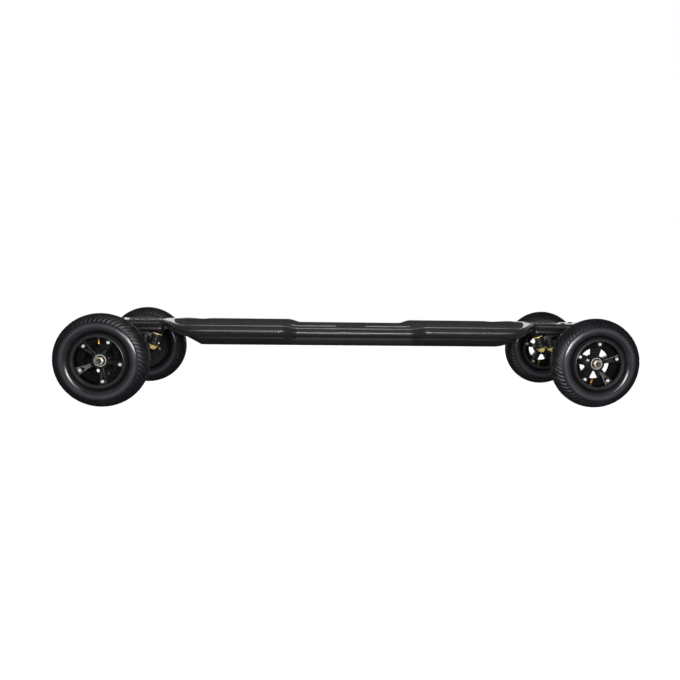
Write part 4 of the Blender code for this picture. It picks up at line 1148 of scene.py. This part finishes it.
def build_drive(side):
    """One rear wheel's gear, belt, pulley, motor and mount."""
    sign = SIDES[side]
    name = f"rear_{side}"
    wheel, hanger = f"{name}_wheel", "rear_hanger"
    add = group(name)
    axle_place = at(-AXLE_X, 0, WHEEL_RADIUS) @ turn("X", -90 * sign)
    aim = Matrix.Rotation(math.atan2(-sign * math.sin(MOTOR_RISE), -math.cos(MOTOR_RISE)), 4, "Z")
    aimed = axle_place @ aim
    motor_place = aimed @ at(MOTOR_DISTANCE)
    add("toothed_gear", gear_mesh(name), "black_alloy", wheel, axle_place, "wheel_gear")
    screw = socket_screw(0.0024, 0.0016, 0.0011)
    for i in range(SPOKES):
        spoke = axle_place @ turn("Z", RIM_PHASE[name] + 360 / SPOKES * i)
        spot = spoke @ at(GEAR_POST_CIRCLE, 0, BELT_HIGH - 0.005) @ FLIPPED
        add(f"gear_screw_{i + 1}", screw, "steel", wheel, spot)

    band = cut(prism(belt_loop(BELT_THICKNESS - 0.0001), BELT_LOW, BELT_HIGH),
               prism(belt_loop(-0.0001), BELT_LOW - 0.01, BELT_HIGH + 0.01))
    add("belt", softened(band, 0.0002, 1), "belt", hanger, aimed, "drive_belt")

    pulley = prism(toothed_outline(PULLEY_TEETH), BELT_LOW - 0.001, BELT_HIGH + 0.001)
    flanges = [disc(0.0142, low, low + 0.0012, 0.0002) for low in (BELT_LOW - 0.0018, BELT_HIGH + 0.0006)]
    shaft = disc(0.004, MOTOR_SPAN[1] + GAP, BELT_HIGH + 0.004)
    add("toothed_pulley", united(pulley, *flanges, shaft), "dull_steel", f"{name}_rotor", motor_place,
        "motor_pulley")
    add("motor", motor_mesh(), "motor", hanger, motor_place @ aim.inverted(), "motor_can")

    holes = [rod(BEAM_RADIUS + GAP, 0, 0.2), shifted(rod(0.008, 0, 0.2), x=MOTOR_DISTANCE),
             block((0.024, -0.006, 0), (0.037, 0.006, 0.2))]
    mount = softened(cut(loop_plate(0.018, 0.022, *MOUNT_SPAN), *holes), 0.0006)
    add("mount", moved(mount, aim), "black_alloy", hanger, axle_place, "motor_mount")
    screw = socket_screw(0.0027, 0.0022, 0.0013)
    for i in range(4):
        x, y = polar(MOTOR_SCREW_CIRCLE, math.radians(45 + 90 * i))
        add(f"motor_screw_{i + 1}", screw, "steel", hanger, motor_place @ at(x, y, MOUNT_SPAN[1]))


# ---------------------------------------------------------------- studio
def studio_plane(name, mesh, tone, strength):
    """A surface that only the camera sees, so that it neither lights nor shades the board."""
    Finish(name, Base_Color=(tone, tone, tone, 1), Emission_Color=(1, 1, 1, 1), Emission_Strength=strength,
           Specular_IOR_Level=0.0)
    coat(mesh, name)
    made = linked(name, mesh)
    made.visible_diffuse = False
    made.visible_glossy = False
    made.visible_transmission = False
    made.visible_shadow = False


def area_light(name, place, target_height, size, power):
    """A rectangular light that faces a point above the middle of the floor."""
    data = bpy.data.lights.new(name, "AREA")
    data.shape = "RECTANGLE"
    data.size, data.size_y = size
    data.energy = power
    lamp = linked(name, data)
    lamp.location = place
    lamp.rotation_euler = (Vector((0, 0, target_height)) - Vector(place)).to_track_quat("-Z", "Y").to_euler()
    lamp.visible_camera = False


def build_studio():
    floor = prism([polar(6, a) for a in np.linspace(0, math.tau, 64, False)], -0.02, -0.0005)
    studio_plane("floor", floor, 0.8, 0.93)
    dome = turned([(0.05, -20), (14, -14), (20, 0), (14, 14), (0.05, 20)], count=32)
    studio_plane("backdrop", dome, 0.0, 1.0)

    world = bpy.data.worlds.new("studio")
    bpy.context.scene.world = world
    world.use_nodes = True
    sky = Nodes(world.node_tree)
    direction = sky.node("ShaderNodeTexCoord", "Generated", {})
    height = sky.node("ShaderNodeSeparateXYZ", "Z", {"Vector": direction})
    share = sky.node("ShaderNodeMapRange", "Result", {"Value": height, "From Min": -1.0})
    tones = ((0.0, 0.07), (0.46, 0.09), (0.5, 0.16), (0.56, 0.14), (0.75, 0.07), (1.0, 0.1))
    colour = sky.ramp(share, *((place, (tone, tone, tone * 1.02)) for place, tone in tones))
    sky.feed(colour, world.node_tree.nodes["Background"].inputs["Color"])

    area_light("key_core", (0.05, -1.16, 0.34), 0.12, (0.5, 0.28), 7.0)
    area_light("key_softbox", (0.05, -1.15, 0.34), 0.12, (1.1, 0.3), 7.4)
    area_light("back_card", (0.0, 2.3, 0.35), 0.35, (4.2, 0.6), 8.0)
    area_light("top_softbox", (0.0, 0.1, 1.5), 0.1, (1.6, 0.8), 1.2)


def build_camera():
    yaw, pitch, roll = 0.0711, 0.0958, 0.0147
    ahead = Vector((math.sin(yaw) * math.cos(pitch), math.cos(yaw) * math.cos(pitch), -math.sin(pitch)))
    level = Vector((math.cos(yaw), -math.sin(yaw), 0))
    upright = level.cross(ahead)
    right = math.cos(roll) * level + math.sin(roll) * upright
    up = -math.sin(roll) * level + math.cos(roll) * upright
    data = bpy.data.cameras.new("camera")
    data.sensor_width = 36.0
    data.lens = 34.472
    data.shift_x = -0.04569
    data.shift_y = 0.01138
    camera = linked("camera", data)
    turned_to = Matrix((right, up, -ahead)).transposed().to_4x4()
    camera.matrix_world = at(-0.0571, -1.3979, 0.2335) @ turned_to
    bpy.context.scene.camera = camera


build_deck()
build_grip()
build_belly()
build_ports()
truck_meshes = baseplate_mesh(), knuckle_mesh(), hanger_mesh()
for truck_end in ENDS:
    build_truck(truck_end, *truck_meshes)
build_wheels()
for drive_side in SIDES:
    build_drive(drive_side)
KEPT = {
    "cover_gasket": "rubber", "battery_pack": "battery", "motor_controller": "bare_alloy",
    "battery_management_board": "circuit_board", "front_riser_pad": "rubber", "rear_riser_pad": "rubber",
}
for node, finish in KEPT.items():
    node_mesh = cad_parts[node].data
    node_mesh.materials.clear()
    coat(node_mesh, finish)
build_studio()
build_camera()
bpy.context.scene.view_settings.view_transform = "Standard"
